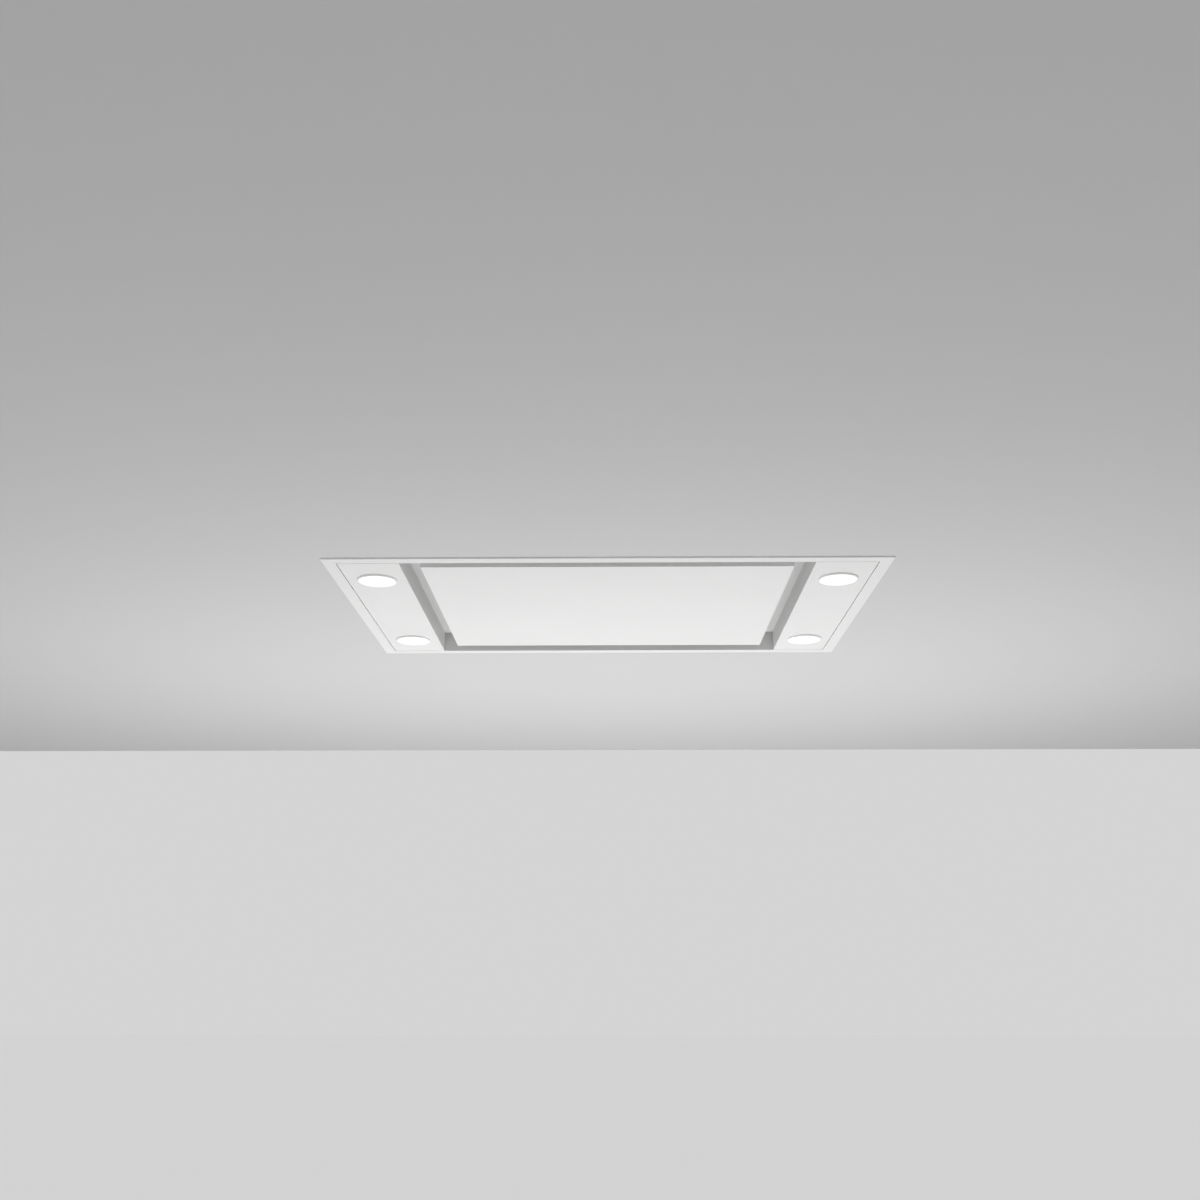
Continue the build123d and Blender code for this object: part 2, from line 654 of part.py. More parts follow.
def lamp_springs():
    """Two bent strips per lamp press down on the lamp panel beside the lamp's hole."""
    strips = []
    foot = lamp_tube_r + LAMP_SPRING_REACH
    bridge_low = led_board_low - LAMP_SPRING_THICK
    for s in SIGNS:
        across = about(0, LAMP_SPRING_WIDTH)
        clamp_y = (s * lamp_tube_r, s * (lamp_tube_r + LAMP_SPRING_THICK))
        strip = block(across, clamp_y, (lamp_plate_top + SHEET, led_board_low))
        strip += block(across, (s * lamp_tube_r, s * foot), (bridge_low, led_board_low))
        strip += block(across, (s * (foot - LAMP_SPRING_THICK), s * foot), (lamp_plate_top, led_board_low))
        strips += [Pos(x, y, 0) * strip for _, x, y in LAMPS]
    save("lamp_springs", strips)


# ---------------------------------------------------------------- recess ceiling and filters
def filter_carrier():
    """The recess ceiling, with a folded seat round each filter opening."""
    half_x, half_y = inside_x - PLATE_FIT, inside_y - PLATE_FIT
    body = plate(half_x, half_y, carrier_low, carrier_top)
    body += ring(half_x - SHEET, half_y - SHEET, SHEET, carrier_top, carrier_top + CARRIER_LIP)
    for s in SIGNS:
        move = Pos(s * filter_centre_x, 0, 0)
        body = body - move * filter_opening() + move * filter_seat()
    body -= holes(lamp_screws, SHEET)
    body -= holes(hinge_screws, EAR_THICK + SHEET)
    body -= drum(switch_r + PLATE_FIT, carrier_low - CUT, carrier_top + CUT, 0, switch_y)
    body -= [drum(JUNCTION_R, carrier_low - CUT, carrier_top + CUT, s * junction_x, 0) for s in SIGNS]
    save("filter_carrier", body)


def filter_opening():
    return plate(filter_x + FILTER_CLEAR, filter_y + FILTER_CLEAR, carrier_low - CUT, carrier_top + CUT)


def filter_seat():
    """Walls and a ledge above one filter, slotted for its tabs and its bolt."""
    hole_x, hole_y = filter_x + FILTER_CLEAR, filter_y + FILTER_CLEAR
    ledge_low = filter_top + LATCH_CLEAR
    ledge_top = ledge_low + SHEET
    seat = ring(hole_x, hole_y, SHEET, carrier_low, ledge_top)
    seat += ring(hole_x - FILTER_LEDGE, hole_y - FILTER_LEDGE, FILTER_LEDGE + SHEET, ledge_low, ledge_top)
    through = (hole_y - CUT, hole_y + SHEET + CUT)
    for s in SIGNS:
        tab_x = about(s * FILTER_TAB_SPACING / 2, FILTER_TAB_WIDTH + 2 * FILTER_CLEAR)
        seat -= block(tab_x, through, (carrier_top, bolt_slot_top))
    bolt_x = about(0, LATCH_WIDTH + 2 * FILTER_CLEAR)
    return seat - block(bolt_x, (-through[0], -through[1]), (carrier_top, bolt_slot_top))


def filters():
    for name, s in SIDES:
        move = Pos(s * filter_centre_x, 0, 0)
        save(f"filter_frame_{name}", move * filter_frame())
        save(f"filter_mesh_{name}", move * filter_mesh())
        save(f"filter_latch_{name}", move * filter_latch())


def filter_frame():
    """A hollow rail all round, with two tabs at the far end and the bolt's slots at the near end."""
    body = plate(filter_x, filter_y, filter_low, filter_top)
    window = (-filter_y + FILTER_FRONT_RAIL, filter_y - FILTER_RAIL)
    body -= block(about(0, 2 * (filter_x - FILTER_RAIL)), window, (filter_low - CUT, filter_top + CUT))
    hollow = (filter_low + FILTER_SHEET, filter_top - FILTER_SHEET)
    body -= plate(filter_x - FILTER_SHEET, filter_y - FILTER_SHEET, *hollow)
    tab_y = (filter_y - FILTER_SHEET, filter_y + FILTER_TAB)
    for s in SIGNS:
        tab_x = about(s * FILTER_TAB_SPACING / 2, FILTER_TAB_WIDTH)
        body += block(tab_x, tab_y, (latch_low, latch_low + FILTER_SHEET))
    slot_x = about(0, LATCH_WIDTH + 2 * LATCH_CLEAR)
    slot_y = (-filter_y - CUT, -filter_y + FILTER_SHEET + CUT)
    body -= block(slot_x, slot_y, (latch_low - LATCH_CLEAR, latch_low + LATCH_THICK + LATCH_CLEAR))
    grip_x = about(0, GRIP_WIDTH + 2 * LATCH_CLEAR)
    grip_run = (grip_y[0] - LATCH_CLEAR, grip_y[1] + LATCH_THROW + LATCH_CLEAR)
    return body - block(grip_x, grip_run, (filter_low - CUT, filter_low + FILTER_SHEET))


def filter_mesh():
    """A pleated aluminium mesh, held in the rails on all four sides."""
    low, high = filter_low + FILTER_SHEET + PLEAT_FIT, filter_top - FILTER_SHEET - PLEAT_FIT
    half = filter_x - FILTER_RAIL + PLEAT_BITE
    count = int(2 * half // PLEAT_PITCH) * 2
    step = 2 * half / count
    upper = [(-half + n * step, high if n % 2 else low + PLEAT_SHEET) for n in range(count + 1)]
    lower = [(x, z - PLEAT_SHEET) for x, z in reversed(upper)]
    start = -filter_y + FILTER_FRONT_RAIL - PLEAT_BITE
    end = filter_y - FILTER_RAIL + PLEAT_BITE
    section = Plane.XZ * make_face(Polyline(*upper, *lower, close=True))
    return Pos(0, end, 0) * extrude(section, end - start)


def filter_latch():
    """A sprung bolt that lies on the carrier, with a finger grip down through the rail."""
    bolt_z = (latch_low, latch_low + LATCH_THICK)
    bolt = block(about(0, LATCH_WIDTH), (latch_tip, latch_tip + LATCH_LENGTH), bolt_z)
    return bolt + block(about(0, GRIP_WIDTH), grip_y, (filter_low - GRIP_DROP, bolt_z[1]))


# ---------------------------------------------------------------- centre panel and its hinges
def centre_panel():
    body = plate(panel_x, panel_y, panel_low, panel_low + SHEET)
    body += ring(panel_x - SHEET, panel_y - SHEET, SHEET, panel_low, panel_top)
    body += ring(panel_x - PANEL_LIP, panel_y - PANEL_LIP, PANEL_LIP, panel_top - SHEET, panel_top)
    save("centre_panel", fillet(body.edges().group_by(Axis.Z)[0], PANEL_FILLET))


def panel_rails():
    """Hat rails inside the panel that carry its hinges, with the catches' strike plates on top."""
    reach = panel_y - PANEL_LIP - RAIL_END_CLEAR
    whole_y = (-reach, reach)
    half = RAIL_WIDTH / 2
    rails = []
    for s in SIGNS:
        x = s * hinge_x
        rail = block(about(x, RAIL_WIDTH), whole_y, (panel_top - SHEET, panel_top))
        for e in SIGNS:
            rail += block((x + e * (half - SHEET), x + e * half), whole_y, (panel_low + SHEET, panel_top))
        rails.append(rail)
        strike = block(about(x, RAIL_WIDTH - 2 * SHEET), about(catch_y, CATCH_DEPTH), (panel_top, strike_top))
        rails.append(strike)
    save("panel_rails", rails)


def hinge_leaves():
    leaves = []
    for s in SIGNS:
        low, high = about(s * hinge_x, KNUCKLE_WIDTH)
        leaf = block((low, high), (hinge_y - LEAF_LENGTH, hinge_y), (panel_top, panel_top + EAR_THICK))
        leaf += lying(knuckle_r, low, high, hinge_y, hinge_z)
        leaves.append(leaf - lying(HINGE_PIN_R + HINGE_RUN, low - CUT, high + CUT, hinge_y, hinge_z))
    save("panel_hinge_leaves", leaves)


def hinge_brackets():
    """A foot under the carrier with two ears down to the pin."""
    brackets = []
    for s in SIGNS:
        x = s * hinge_x
        low, high = about(x, 2 * ear_out)
        foot_y = (hinge_y - EAR_BACK - FOOT_LENGTH, hinge_y + ear_r)
        body = block((low, high), foot_y, (foot_low, carrier_low))
        for e in SIGNS:
            span = sorted((x + e * ear_in, x + e * ear_out))
            body += block(span, (hinge_y - EAR_BACK, hinge_y + ear_r), (hinge_z, carrier_low))
            body += lying(ear_r, *span, hinge_y, hinge_z)
        body -= lying(HINGE_PIN_R, low - CUT, high + CUT, hinge_y, hinge_z)
        brackets.append(body - holes(hinge_screws, EAR_THICK))
    save("panel_hinge_brackets", brackets)


def hinge_pins():
    pins = []
    for s in SIGNS:
        x = s * hinge_x
        pin = lying(HINGE_PIN_R, x - ear_out - HINGE_PIN_TAIL, x + ear_out, hinge_y, hinge_z)
        head = lying(HINGE_PIN_HEAD_R, x + ear_out, x + ear_out + HINGE_PIN_HEAD, hinge_y, hinge_z)
        pins.append(pin + head)
    save("panel_hinge_pins", pins)


def panel_catches():
    """Magnet catches under the carrier, just clear of the strike plates on the rails."""
    catches = []
    for s in SIGNS:
        catch_z = (strike_top + CATCH_GAP, carrier_low)
        catch = block(about(s * hinge_x, CATCH_WIDTH), about(catch_y, CATCH_DEPTH), catch_z)
        catches.append(fillet(catch.edges().filter_by(Axis.Z), CATCH_FILLET))
    save("panel_catches", catches)


def master_switch():
    """A push switch in the recess ceiling: its body with a trim ring, and its button."""
    ring_low = carrier_low - SWITCH_RING_THICK
    button_low = ring_low - BUTTON_PROUD
    button_top = button_low + BUTTON_HEIGHT
    body = drum(switch_r, carrier_low, switch_top, 0, switch_y)
    body += drum(BUTTON_R + SWITCH_RING, ring_low, carrier_low, 0, switch_y)
    well_top = button_top + BUTTON_TRAVEL + BUTTON_SPARE
    save("master_switch", body - drum(BUTTON_R + BUTTON_FIT, ring_low - CUT, well_top, 0, switch_y))
    button = drum(BUTTON_R, button_low, button_top, 0, switch_y)
    save("master_switch_button", fillet(lowest_edge(button), BUTTON_FILLET))


# ---------------------------------------------------------------- blower
def scroll_r(angle):
    """The volute's inside radius at an angle in degrees."""
    turned = (angle - SCROLL_START_ANGLE) / (360.0 - SCROLL_START_ANGLE)
    return scroll_start_r + SCROLL_GROWTH * turned


def spiral(first_angle, grow):
    """The volute's curve from first_angle round to the straight wall."""
    points = []
    for n in range(SCROLL_STEPS + 1):
        angle = first_angle + (360.0 - first_angle) * n / SCROLL_STEPS
        radius = scroll_r(angle) + grow
        points.append((radius * cos(radians(angle)), radius * sin(radians(angle))))
    return points


def blower_scroll():
    """The volute wall as one closed band, open at its mouth."""
    side_x = tongue_x - SCROLL_SHEET
    inner = spiral(SCROLL_START_ANGLE, 0)
    outer = spiral(degrees(acos(side_x / (scroll_start_r + SCROLL_SHEET))), SCROLL_SHEET)
    outer[0] = (side_x, outer[0][1])
    mouth = [(x, SCROLL_MOUTH) for x in (tongue_x, inner[-1][0], outer[-1][0], side_x)]
    band = make_face(
        [
            Line(mouth[0], inner[0]),
            Spline(*inner),
            Line(inner[-1], mouth[1]),
            Line(mouth[1], mouth[2]),
            Line(mouth[2], outer[-1]),
            Spline(*outer),
            Line(outer[0], mouth[3]),
            Line(mouth[3], mouth[0]),
        ]
    )
    save("blower_scroll", Pos(blower_x, BLOWER_Y, base_top) * extrude(band, lid_low - base_top))


plates_x = (
    blower_x - scroll_r(180) - SCROLL_SHEET - BLOWER_MARGIN,
    blower_x + scroll_r(360) + SCROLL_SHEET + BLOWER_MARGIN,
)
plates_y = (BLOWER_Y - scroll_r(270) - SCROLL_SHEET - BLOWER_MARGIN, mouth_y)


def blower_base():
    """The blower's bottom plate, with the inlet pressed up as a bell mouth."""
    rim_r, throat = inlet_r + BELL_R, BLOWER_BASE_RISE + BELL_R
    inner = BELL_R - SHEET
    slant = sin(radians(45))
    lower_mid = (rim_r - BELL_R * slant, throat - BELL_R * slant)
    upper_mid = (rim_r - inner * slant, throat - inner * slant)
    section = make_face(
        [
            ThreePointArc((rim_r, BLOWER_BASE_RISE), lower_mid, (inlet_r, throat)),
            Line((inlet_r, throat), (inlet_r + SHEET, throat)),
            ThreePointArc((inlet_r + SHEET, throat), upper_mid, (rim_r, base_top)),
            Line((rim_r, base_top), (rim_r, BLOWER_BASE_RISE)),
        ]
    )
    bell = revolve(Plane.XZ * section, Axis.Z, 360)
    body = block(plates_x, plates_y, (BLOWER_BASE_RISE, base_top))
    body -= drum(rim_r, BLOWER_BASE_RISE - CUT, base_top + CUT, blower_x, BLOWER_Y)
    save("blower_base", body + Pos(blower_x, BLOWER_Y, 0) * bell)


def blower_lid():
    body = block(plates_x, plates_y, (lid_low, lid_top))
    body -= drum(MOTOR_R + PLATE_FIT, lid_low - CUT, lid_top + CUT, blower_x, BLOWER_Y)
    save("blower_lid", body - holes(motor_screws, MOTOR_FLANGE_THICK + SHEET))


def blower_buffers():
    """Rubber blocks at the lid's corners, up to the casing's top."""
    inset = BUFFER_R + BUFFER_INSET
    places_x = (plates_x[0] + inset, plates_x[1] - inset)
    places_y = (plates_y[0] + inset, plates_y[1] - inset)
    buffer = drum(BUFFER_R, lid_top, casing_top_low)
    save("blower_buffers", [Pos(x, y, 0) * buffer for x in places_x for y in places_y])


def impeller():
    """Forward-curved wheel: inlet ring, separate blades, and back plate with its cup and hub."""
    move = Pos(blower_x, BLOWER_Y, 0)
    ring_top = impeller_low + IMPELLER_RING
    back_low = impeller_top - IMPELLER_RING
    hub_low = cup_low - HUB_LENGTH
    save("impeller_ring", move * tube(IMPELLER_R, blade_in_r - BLADE_BORDER, impeller_low, ring_top))

    back = tube(IMPELLER_R, cup_r, back_low, impeller_top)
    back += tube(cup_r + CUP_WALL, cup_r, cup_low, impeller_top)
    back += drum(cup_r + CUP_WALL, cup_low - CUP_WALL, cup_low) + drum(HUB_R, hub_low, cup_low)
    save("impeller_back", move * (back - drum(SHAFT_R, hub_low - CUT, cup_low + CUT)))

    start, end = (blade_in_r, 0), (IMPELLER_R - BLADE_TIP, 0)
    bend = ((IMPELLER_R + blade_in_r) / 2, -BLADE_BOW)
    start_back, bend_back, end_back = [(x, y + BLADE_THICK) for x, y in (start, bend, end)]
    section = make_face(
        [
            ThreePointArc(start, bend, end),
            Line(end, end_back),
            ThreePointArc(end_back, bend_back, start_back),
            Line(start_back, start),
        ]
    )
    blade = Pos(0, 0, ring_top) * extrude(section, back_low - ring_top)
    turns = [Rotation(0, 0, 360 * n / BLADE_COUNT) for n in range(BLADE_COUNT)]
    save("impeller_blades", [move * turn * blade for turn in turns])


def motor():
    """Motor hung through the blower's lid: case, cap, bearings, stator and rotor with its shaft."""
    move = Pos(blower_x, BLOWER_Y, 0)
    inner = MOTOR_R - MOTOR_WALL
    seat_r = BEARING_R + BEARING_SEAT
    floor_top = motor_low + MOTOR_WALL
    case = tube(MOTOR_R, inner, motor_low, motor_top)
    case += drum(MOTOR_R, motor_low, floor_top)
    case += tube(motor_flange_r, inner, lid_top, lid_top + MOTOR_FLANGE_THICK)
    case += drum(seat_r, motor_low, floor_top + BEARING_WIDTH)
    case -= drum(BEARING_R, floor_top, floor_top + BEARING_WIDTH + CUT)
    case -= drum(SHAFT_R + SHAFT_PORT, motor_low - CUT, floor_top + CUT)
    save("motor_case", move * case - holes(motor_screws, MOTOR_FLANGE_THICK))

    upper_low = motor_top - BEARING_WIDTH
    cap = drum(MOTOR_R, motor_top, motor_top + MOTOR_WALL) + drum(seat_r, upper_low, motor_top)
    save("motor_cap", move * (cap - drum(BEARING_R, upper_low - CUT, motor_top)))
    bearing_lows = (floor_top, upper_low)
    bearings = [tube(BEARING_R, SHAFT_R + SHAFT_RUN, z, z + BEARING_WIDTH) for z in bearing_lows]
    save("motor_bearings", [move * bearing for bearing in bearings])

    low, high = about((motor_low + motor_top) / 2, STATOR_HEIGHT)
    bore = ROTOR_R + AIR_GAP
    stator = tube(inner, bore, low, high)
    for end in ((low - WINDING_HEIGHT, low), (high, high + WINDING_HEIGHT)):
        stator += tube(inner - WINDING_INSET, bore + WINDING_INSET, *end)
    save("motor_stator", move * stator)
    rotor = drum(ROTOR_R, low, high) + drum(SHAFT_R, cup_low - HUB_LENGTH, motor_top - CUT)
    save("motor_rotor", move * rotor)


def motor_capacitor():
    x = blower_x + motor_flange_r + CAPACITOR_AWAY + CAPACITOR_R
    can = drum(CAPACITOR_R, lid_top, lid_top + CAPACITOR_HEIGHT, x, BLOWER_Y - CAPACITOR_NEAR)
    save("motor_capacitor", fillet(can.edges().sort_by(Axis.Z)[-1], CAPACITOR_FILLET))


# ---------------------------------------------------------------- outlet
def outlet_transition():
    """Sheet duct from the scroll's square mouth to the round collar."""
    width, height = scroll_end_r - tongue_x, lid_low - base_top
    round_r = DUCT_R + PLATE_FIT
    lap_end = collar_in_y + TRANSITION_LAP
    near = Plane((0, mouth_y, duct_z), x_dir=(1, 0, 0), z_dir=(0, 1, 0))
    far = Plane((0, collar_in_y, duct_z), x_dir=(1, 0, 0), z_dir=(0, 1, 0))

    def body(grow):
        mouth = RectangleRounded(width + 2 * grow, height + 2 * grow, TRANSITION_FILLET + grow)
        return loft([near * mouth, far * Circle(round_r + grow)])

    lap = ducted(round_r + SCROLL_SHEET, collar_in_y, lap_end)
    lap -= ducted(round_r, collar_in_y - CUT, lap_end + CUT)
    save("outlet_transition", body(SCROLL_SHEET) - body(0) + lap)


def duct_collar():
    """Spigot and square flange, with a stop ring behind the flaps and holes for their pin."""
    flange_y = (outside_y, outside_y + COLLAR_FLANGE_THICK)
    flange = block(about(0, 2 * collar_half), flange_y, about(duct_z, 2 * collar_half))
    body = ducted(DUCT_R, collar_in_y, collar_out_y) + fillet(flange.edges().filter_by(Axis.Y), COLLAR_FILLET)
    body -= ducted(bore_r, collar_in_y - CUT, collar_out_y + CUT)
    stop_y = flap_y - FLAP_THICK / 2 - FLAP_STOP_GAP
    stop = ducted(DUCT_R - DUCT_WALL / 2, stop_y - FLAP_STOP_THICK, stop_y)
    body += stop - ducted(bore_r - FLAP_STOP, stop_y - FLAP_STOP_THICK - CUT, stop_y + CUT)
    pin_hole = drum(FLAP_PIN_R, duct_z - DUCT_R - CUT, duct_z + DUCT_R + CUT, 0, flap_y)
    save("duct_collar", body - pin_hole - holes(collar_screws, COLLAR_FLANGE_THICK))


def flaps():
    """Two half discs on one upright pin; each swings towards the duct."""
    radius = bore_r - FLAP_CLEAR
    reach = radius - FLAP_KNUCKLE_INSET
    step = 2 * reach / FLAP_KNUCKLES
    gap = FLAP_KNUCKLE_GAP
    tall = (duct_z - DUCT_R, duct_z + DUCT_R)
    beside = about(flap_y, 4 * FLAP_KNUCKLE_R)
    disc = ducted(radius, flap_y - FLAP_THICK / 2, flap_y + FLAP_THICK / 2)
    for index, (name, s) in enumerate(SIDES):
        flap = disc & block((s * FLAP_SPLIT, s * DUCT_R), beside, tall)
        for n in range(FLAP_KNUCKLES):
            low = duct_z - reach + n * step
            if n % 2 == index:
                flap += drum(FLAP_KNUCKLE_R, low + gap, low + step - gap, 0, flap_y)
            else:
                flap -= drum(FLAP_KNUCKLE_R + gap, low - gap, low + step + gap, 0, flap_y)
        for e in SIGNS:
            flap -= block((-FLAP_NOTCH, FLAP_NOTCH), beside, (duct_z + e * reach, duct_z + e * DUCT_R))
        save(f"flap_{name}", flap - drum(FLAP_PIN_R + FLAP_RUN, *tall, 0, flap_y))
    save("flap_pin", drum(FLAP_PIN_R, *tall, 0, flap_y))


# ---------------------------------------------------------------- electrics
def control_box():
    """A box under the casing's top with bosses for its board, and its lid."""
    half_x, half_y = CONTROL_LENGTH / 2, CONTROL_DEPTH / 2
    low = casing_top_low - CONTROL_HEIGHT + CONTROL_WALL
    move = Pos(control_x, control_y, 0)
    box = plate(half_x, half_y, low, casing_top_low)
    box -= plate(half_x - CONTROL_WALL, half_y - CONTROL_WALL, low - CUT, control_ceiling)
    boss = drum(BOSS_R, control_ceiling - BOARD_STANDOFF, control_ceiling)
    box += [Pos(sx * (half_x - BOSS_INSET_X), sy * (half_y - BOSS_INSET_Y), 0) * boss for sx, sy in CORNERS]
    gland_hole = drum(GLAND_R + PLATE_FIT, control_ceiling - CUT, CASING_HEIGHT, gland_x, gland_y)
    save("control_box", move * box - holes(control_screws, SHEET + CONTROL_WALL) - gland_hole)
    inset = 2 * CONTROL_WALL + PLATE_FIT
    lid = plate(half_x, half_y, low - CONTROL_WALL, low)
    lid += ring(half_x - inset, half_y - inset, CONTROL_WALL, low, low + CONTROL_LIP)
    save("control_box_lid", move * lid)


def control_board():
    """The board hangs from the bosses with its parts downwards, cut clear of the mains gland."""
    top = control_ceiling - BOARD_STANDOFF
    low = top - BOARD_THICK
    half_x, half_y = CONTROL_LENGTH / 2 - BOARD_INSET_X, CONTROL_DEPTH / 2 - BOARD_INSET_Y
    near_row, far_row = -half_y + BOARD_PITCH, half_y - BOARD_PITCH - RELAY[1] / 2

    def part(size, x, y):
        length, depth, height = size
        return block(about(x, length), about(y, depth), (low - height, low))

    board = plate(half_x, half_y, low, top)
    board += part(TRANSFORMER, -half_x + BOARD_PITCH, near_row)
    board += [part(RELAY, -half_x + n * BOARD_PITCH, far_row) for n in (1, 2)]
    board += part(CHIP, BOARD_PITCH / 2, far_row)
    board += part(TERMINALS, half_x - TERMINALS[0] / 2, 0)
    board += [
        drum(BOARD_CAPACITOR_R, low - BOARD_CAPACITOR_HEIGHT, low, n * BOARD_PITCH, near_row) for n in (0, 1)
    ]
    clear = drum(GLAND_R + GLAND_BOARD_CLEAR, low - TERMINALS[2] - CUT, top + CUT, gland_x, gland_y)
    save("control_board", Pos(control_x, control_y, 0) * board - clear)


def mains_gland():
    """Cable gland through the casing's top and the control box, with its lock nut."""
    tail_low = control_ceiling - GLAND_NUT - GLAND_TAIL
    top = CASING_HEIGHT + GLAND_HEIGHT
    hexagon = RegularPolygon(GLAND_R + GLAND_FLAT, 6)
    body = Pos(0, 0, CASING_HEIGHT) * extrude(hexagon, GLAND_HEX_HEIGHT) + drum(GLAND_R, tail_low, top)
    body -= drum(GLAND_BORE_R, tail_low - CUT, top + CUT)
    nut = Pos(0, 0, control_ceiling - GLAND_NUT) * extrude(hexagon, GLAND_NUT)
    nut -= drum(GLAND_R, tail_low, top)
    save("mains_gland", [Pos(gland_x, gland_y, 0) * piece for piece in (body, nut)])


def led_driver():
    half_x, half_y = DRIVER_LENGTH / 2, DRIVER_DEPTH / 2
    box = plate(half_x, half_y, driver_low, casing_top_low)
    box = fillet(box.edges().filter_by(Axis.Z), DRIVER_FILLET)
    box += plate(half_x + DRIVER_EAR, half_y / 2, control_ceiling, casing_top_low)
    save("led_driver", Pos(driver_x, DRIVER_Y, 0) * box - holes(driver_screws, SHEET + CONTROL_WALL))


def lamp_junctions():
    """A plug block under the carrier on each side, with its spigot up through the carrier's hole."""
    body = plate(JUNCTION_LENGTH / 2, JUNCTION_DEPTH / 2, carrier_low - JUNCTION_HEIGHT, carrier_low)
    body = fillet(body.edges().filter_by(Axis.Z), JUNCTION_FILLET)
    body += drum(JUNCTION_R, carrier_low, junction_top)
    save("lamp_junctions", [Pos(s * junction_x, 0, 0) * body for s in SIGNS])


# ---------------------------------------------------------------- leads
def lead(radius, points):
    """A lead along straight runs joined by arcs as large as the runs allow."""
    points = [Vector(*p) for p in points]
    radii = []
    for before, at, after in zip(points, points[1:], points[2:]):
        turn = radians((at - before).get_angle(after - at))
        shorter = min((at - before).length, (after - at).length)
        radii.append(0.45 * shorter / tan(turn / 2))
    path = FilletPolyline(*points, radius=radii)
    start = Plane(points[0], z_dir=(points[1] - points[0]).normalized())
    return sweep(start * Circle(radius), path=path)


def lamp_lead(side, end):
    """From a junction down onto the lamp panel, along it and over a spring to the lamp's board."""
    board_y = end * (LAMP_SPACING / 2 - sink_r)
    block_y = end * JUNCTION_DEPTH / 2
    low = lamp_plate_top + LAMP_LEAD_R + PLATE_FIT
    high = led_board_low + LAMP_LEAD_R + PLATE_FIT
    middle = carrier_low - JUNCTION_HEIGHT / 2
    route = [
        (side * junction_x, block_y, middle),
        (side * junction_x, block_y + end * 30, middle),
        (side * (lamp_centre_x - 2), block_y + end * 60, low),
        (side * (lamp_centre_x + 2), block_y + end * 92, low),
        (side * lamp_centre_x, board_y - end * 30, high),
        (side * lamp_centre_x, board_y, high),
    ]
    return lead(LAMP_LEAD_R, route)


def motor_lead():
    x, z = blower_x + MOTOR_R, motor_top - 12
    box_x, box_y = control_x - CONTROL_LENGTH / 2, control_y + 22
    route = [
        (x, BLOWER_Y, z),
        (x + 45, BLOWER_Y, z),
        (x + 90, BLOWER_Y - 12, z + 6),
        (x + 135, BLOWER_Y - 42, z + 6),
        (box_x - 45, box_y, z + 2),
        (box_x, box_y, z + 2),
    ]
    return lead(MOTOR_LEAD_R, route)


def switch_lead():
    box_x, box_y = control_x - CONTROL_LENGTH / 2, control_y - 45
    route = [
        (0, switch_y, switch_top),
        (0, switch_y, switch_top + 30),
        (20, switch_y + 4, switch_top + 70),
        (60, switch_y + 8, switch_top + 110),
        (105, switch_y + 26, switch_top + 140),
        (box_x - 40, box_y, switch_top + 162),
        (box_x, box_y, switch_top + 162),
    ]
    return lead(LAMP_LEAD_R, route)


def supply_lead():
    """From the control box to the lamps' driver."""
    box_y = control_y + CONTROL_DEPTH / 2
    driver_near = DRIVER_Y - DRIVER_DEPTH / 2
    route = [
        (control_x, box_y, driver_low + 10),
        (control_x, box_y + 30, driver_low + 10),
        (control_x + 8, box_y + 60, driver_low + 4),
        (driver_x, driver_near - 28, driver_low + 8),
        (driver_x, driver_near, driver_low + 8),
    ]
    return lead(LAMP_LEAD_R, route)


def right_junction_lead():
    route = [
        (driver_x + 20, DRIVER_Y, driver_low),
        (driver_x + 20, DRIVER_Y, driver_low - 40),
        (driver_x + 32, DRIVER_Y - 6, driver_low - 84),
        (driver_x + 50, DRIVER_Y - 22, driver_low - 126),
        (junction_x, 0, junction_top + 32),
        (junction_x, 0, junction_top),
    ]
    return lead(LAMP_LEAD_R, route)


def left_junction_lead():
    """Round the far side of the outlet and down to the left lamps' junction."""
    x, y, z = driver_x - DRIVER_LENGTH / 2, DRIVER_Y, driver_low
    route = [
        (x, y, z + 12),
        (x - 45, y, z + 12),
        (x - 85, y + 40, z + 16),
        (x - 120, y + 90, z + 18),
        (x - 170, y + 130, z + 16),
        (x - 235, y + 150, z + 18),
        (x - 300, y + 152, z + 16),
        (x - 365, y + 145, z + 14),
        (x - 425, y + 128, z + 6),
        (x - 480, y + 100, z - 16),
        (x - 525, y + 62, z - 52),
        (x - 558, y + 20, z - 96),
        (-junction_x, 0, junction_top + 70),
        (-junction_x, 0, junction_top),
    ]
    return lead(LAMP_LEAD_R, route)


def internal_leads():
    leads = [motor_lead(), switch_lead(), supply_lead(), right_junction_lead(), left_junction_lead()]
    leads += [lamp_lead(side, end) for side, end in CORNERS]
    save("internal_leads", leads)


def main():
    os.makedirs("parts", exist_ok=True)
    rim_frame()
    casing_walls()
    casing_top()
    hanger_brackets()
    lamp_panels()
    lamp_panel_clips()
    lamp_covers()
    lamp_led_boards()
    lamp_heat_sinks()
    lamp_springs()
    filter_carrier()
    filters()
    centre_panel()
    panel_rails()
    hinge_leaves()
    hinge_brackets()
    hinge_pins()
    panel_catches()
    master_switch()
    blower_scroll()
    blower_base()
    blower_lid()
    blower_buffers()
    impeller()
    motor()
    motor_capacitor()
    outlet_transition()
    duct_collar()
    flaps()
    control_box()
    control_board()
    mains_gland()
    led_driver()
    lamp_junctions()
    internal_leads()
    screws()


main()
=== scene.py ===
"""Finishes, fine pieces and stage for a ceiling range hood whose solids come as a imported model.

The file is laid out as an add-on. Each group of like pieces has one operator, which a user can run
again from the sidebar after changing a colour or a size. Everything is in metres, in the model's
own frame: +Z is up, -Y is the near side, and the origin is the middle of the hood in the plane of
the ceiling's lower face.
"""

import json
import math

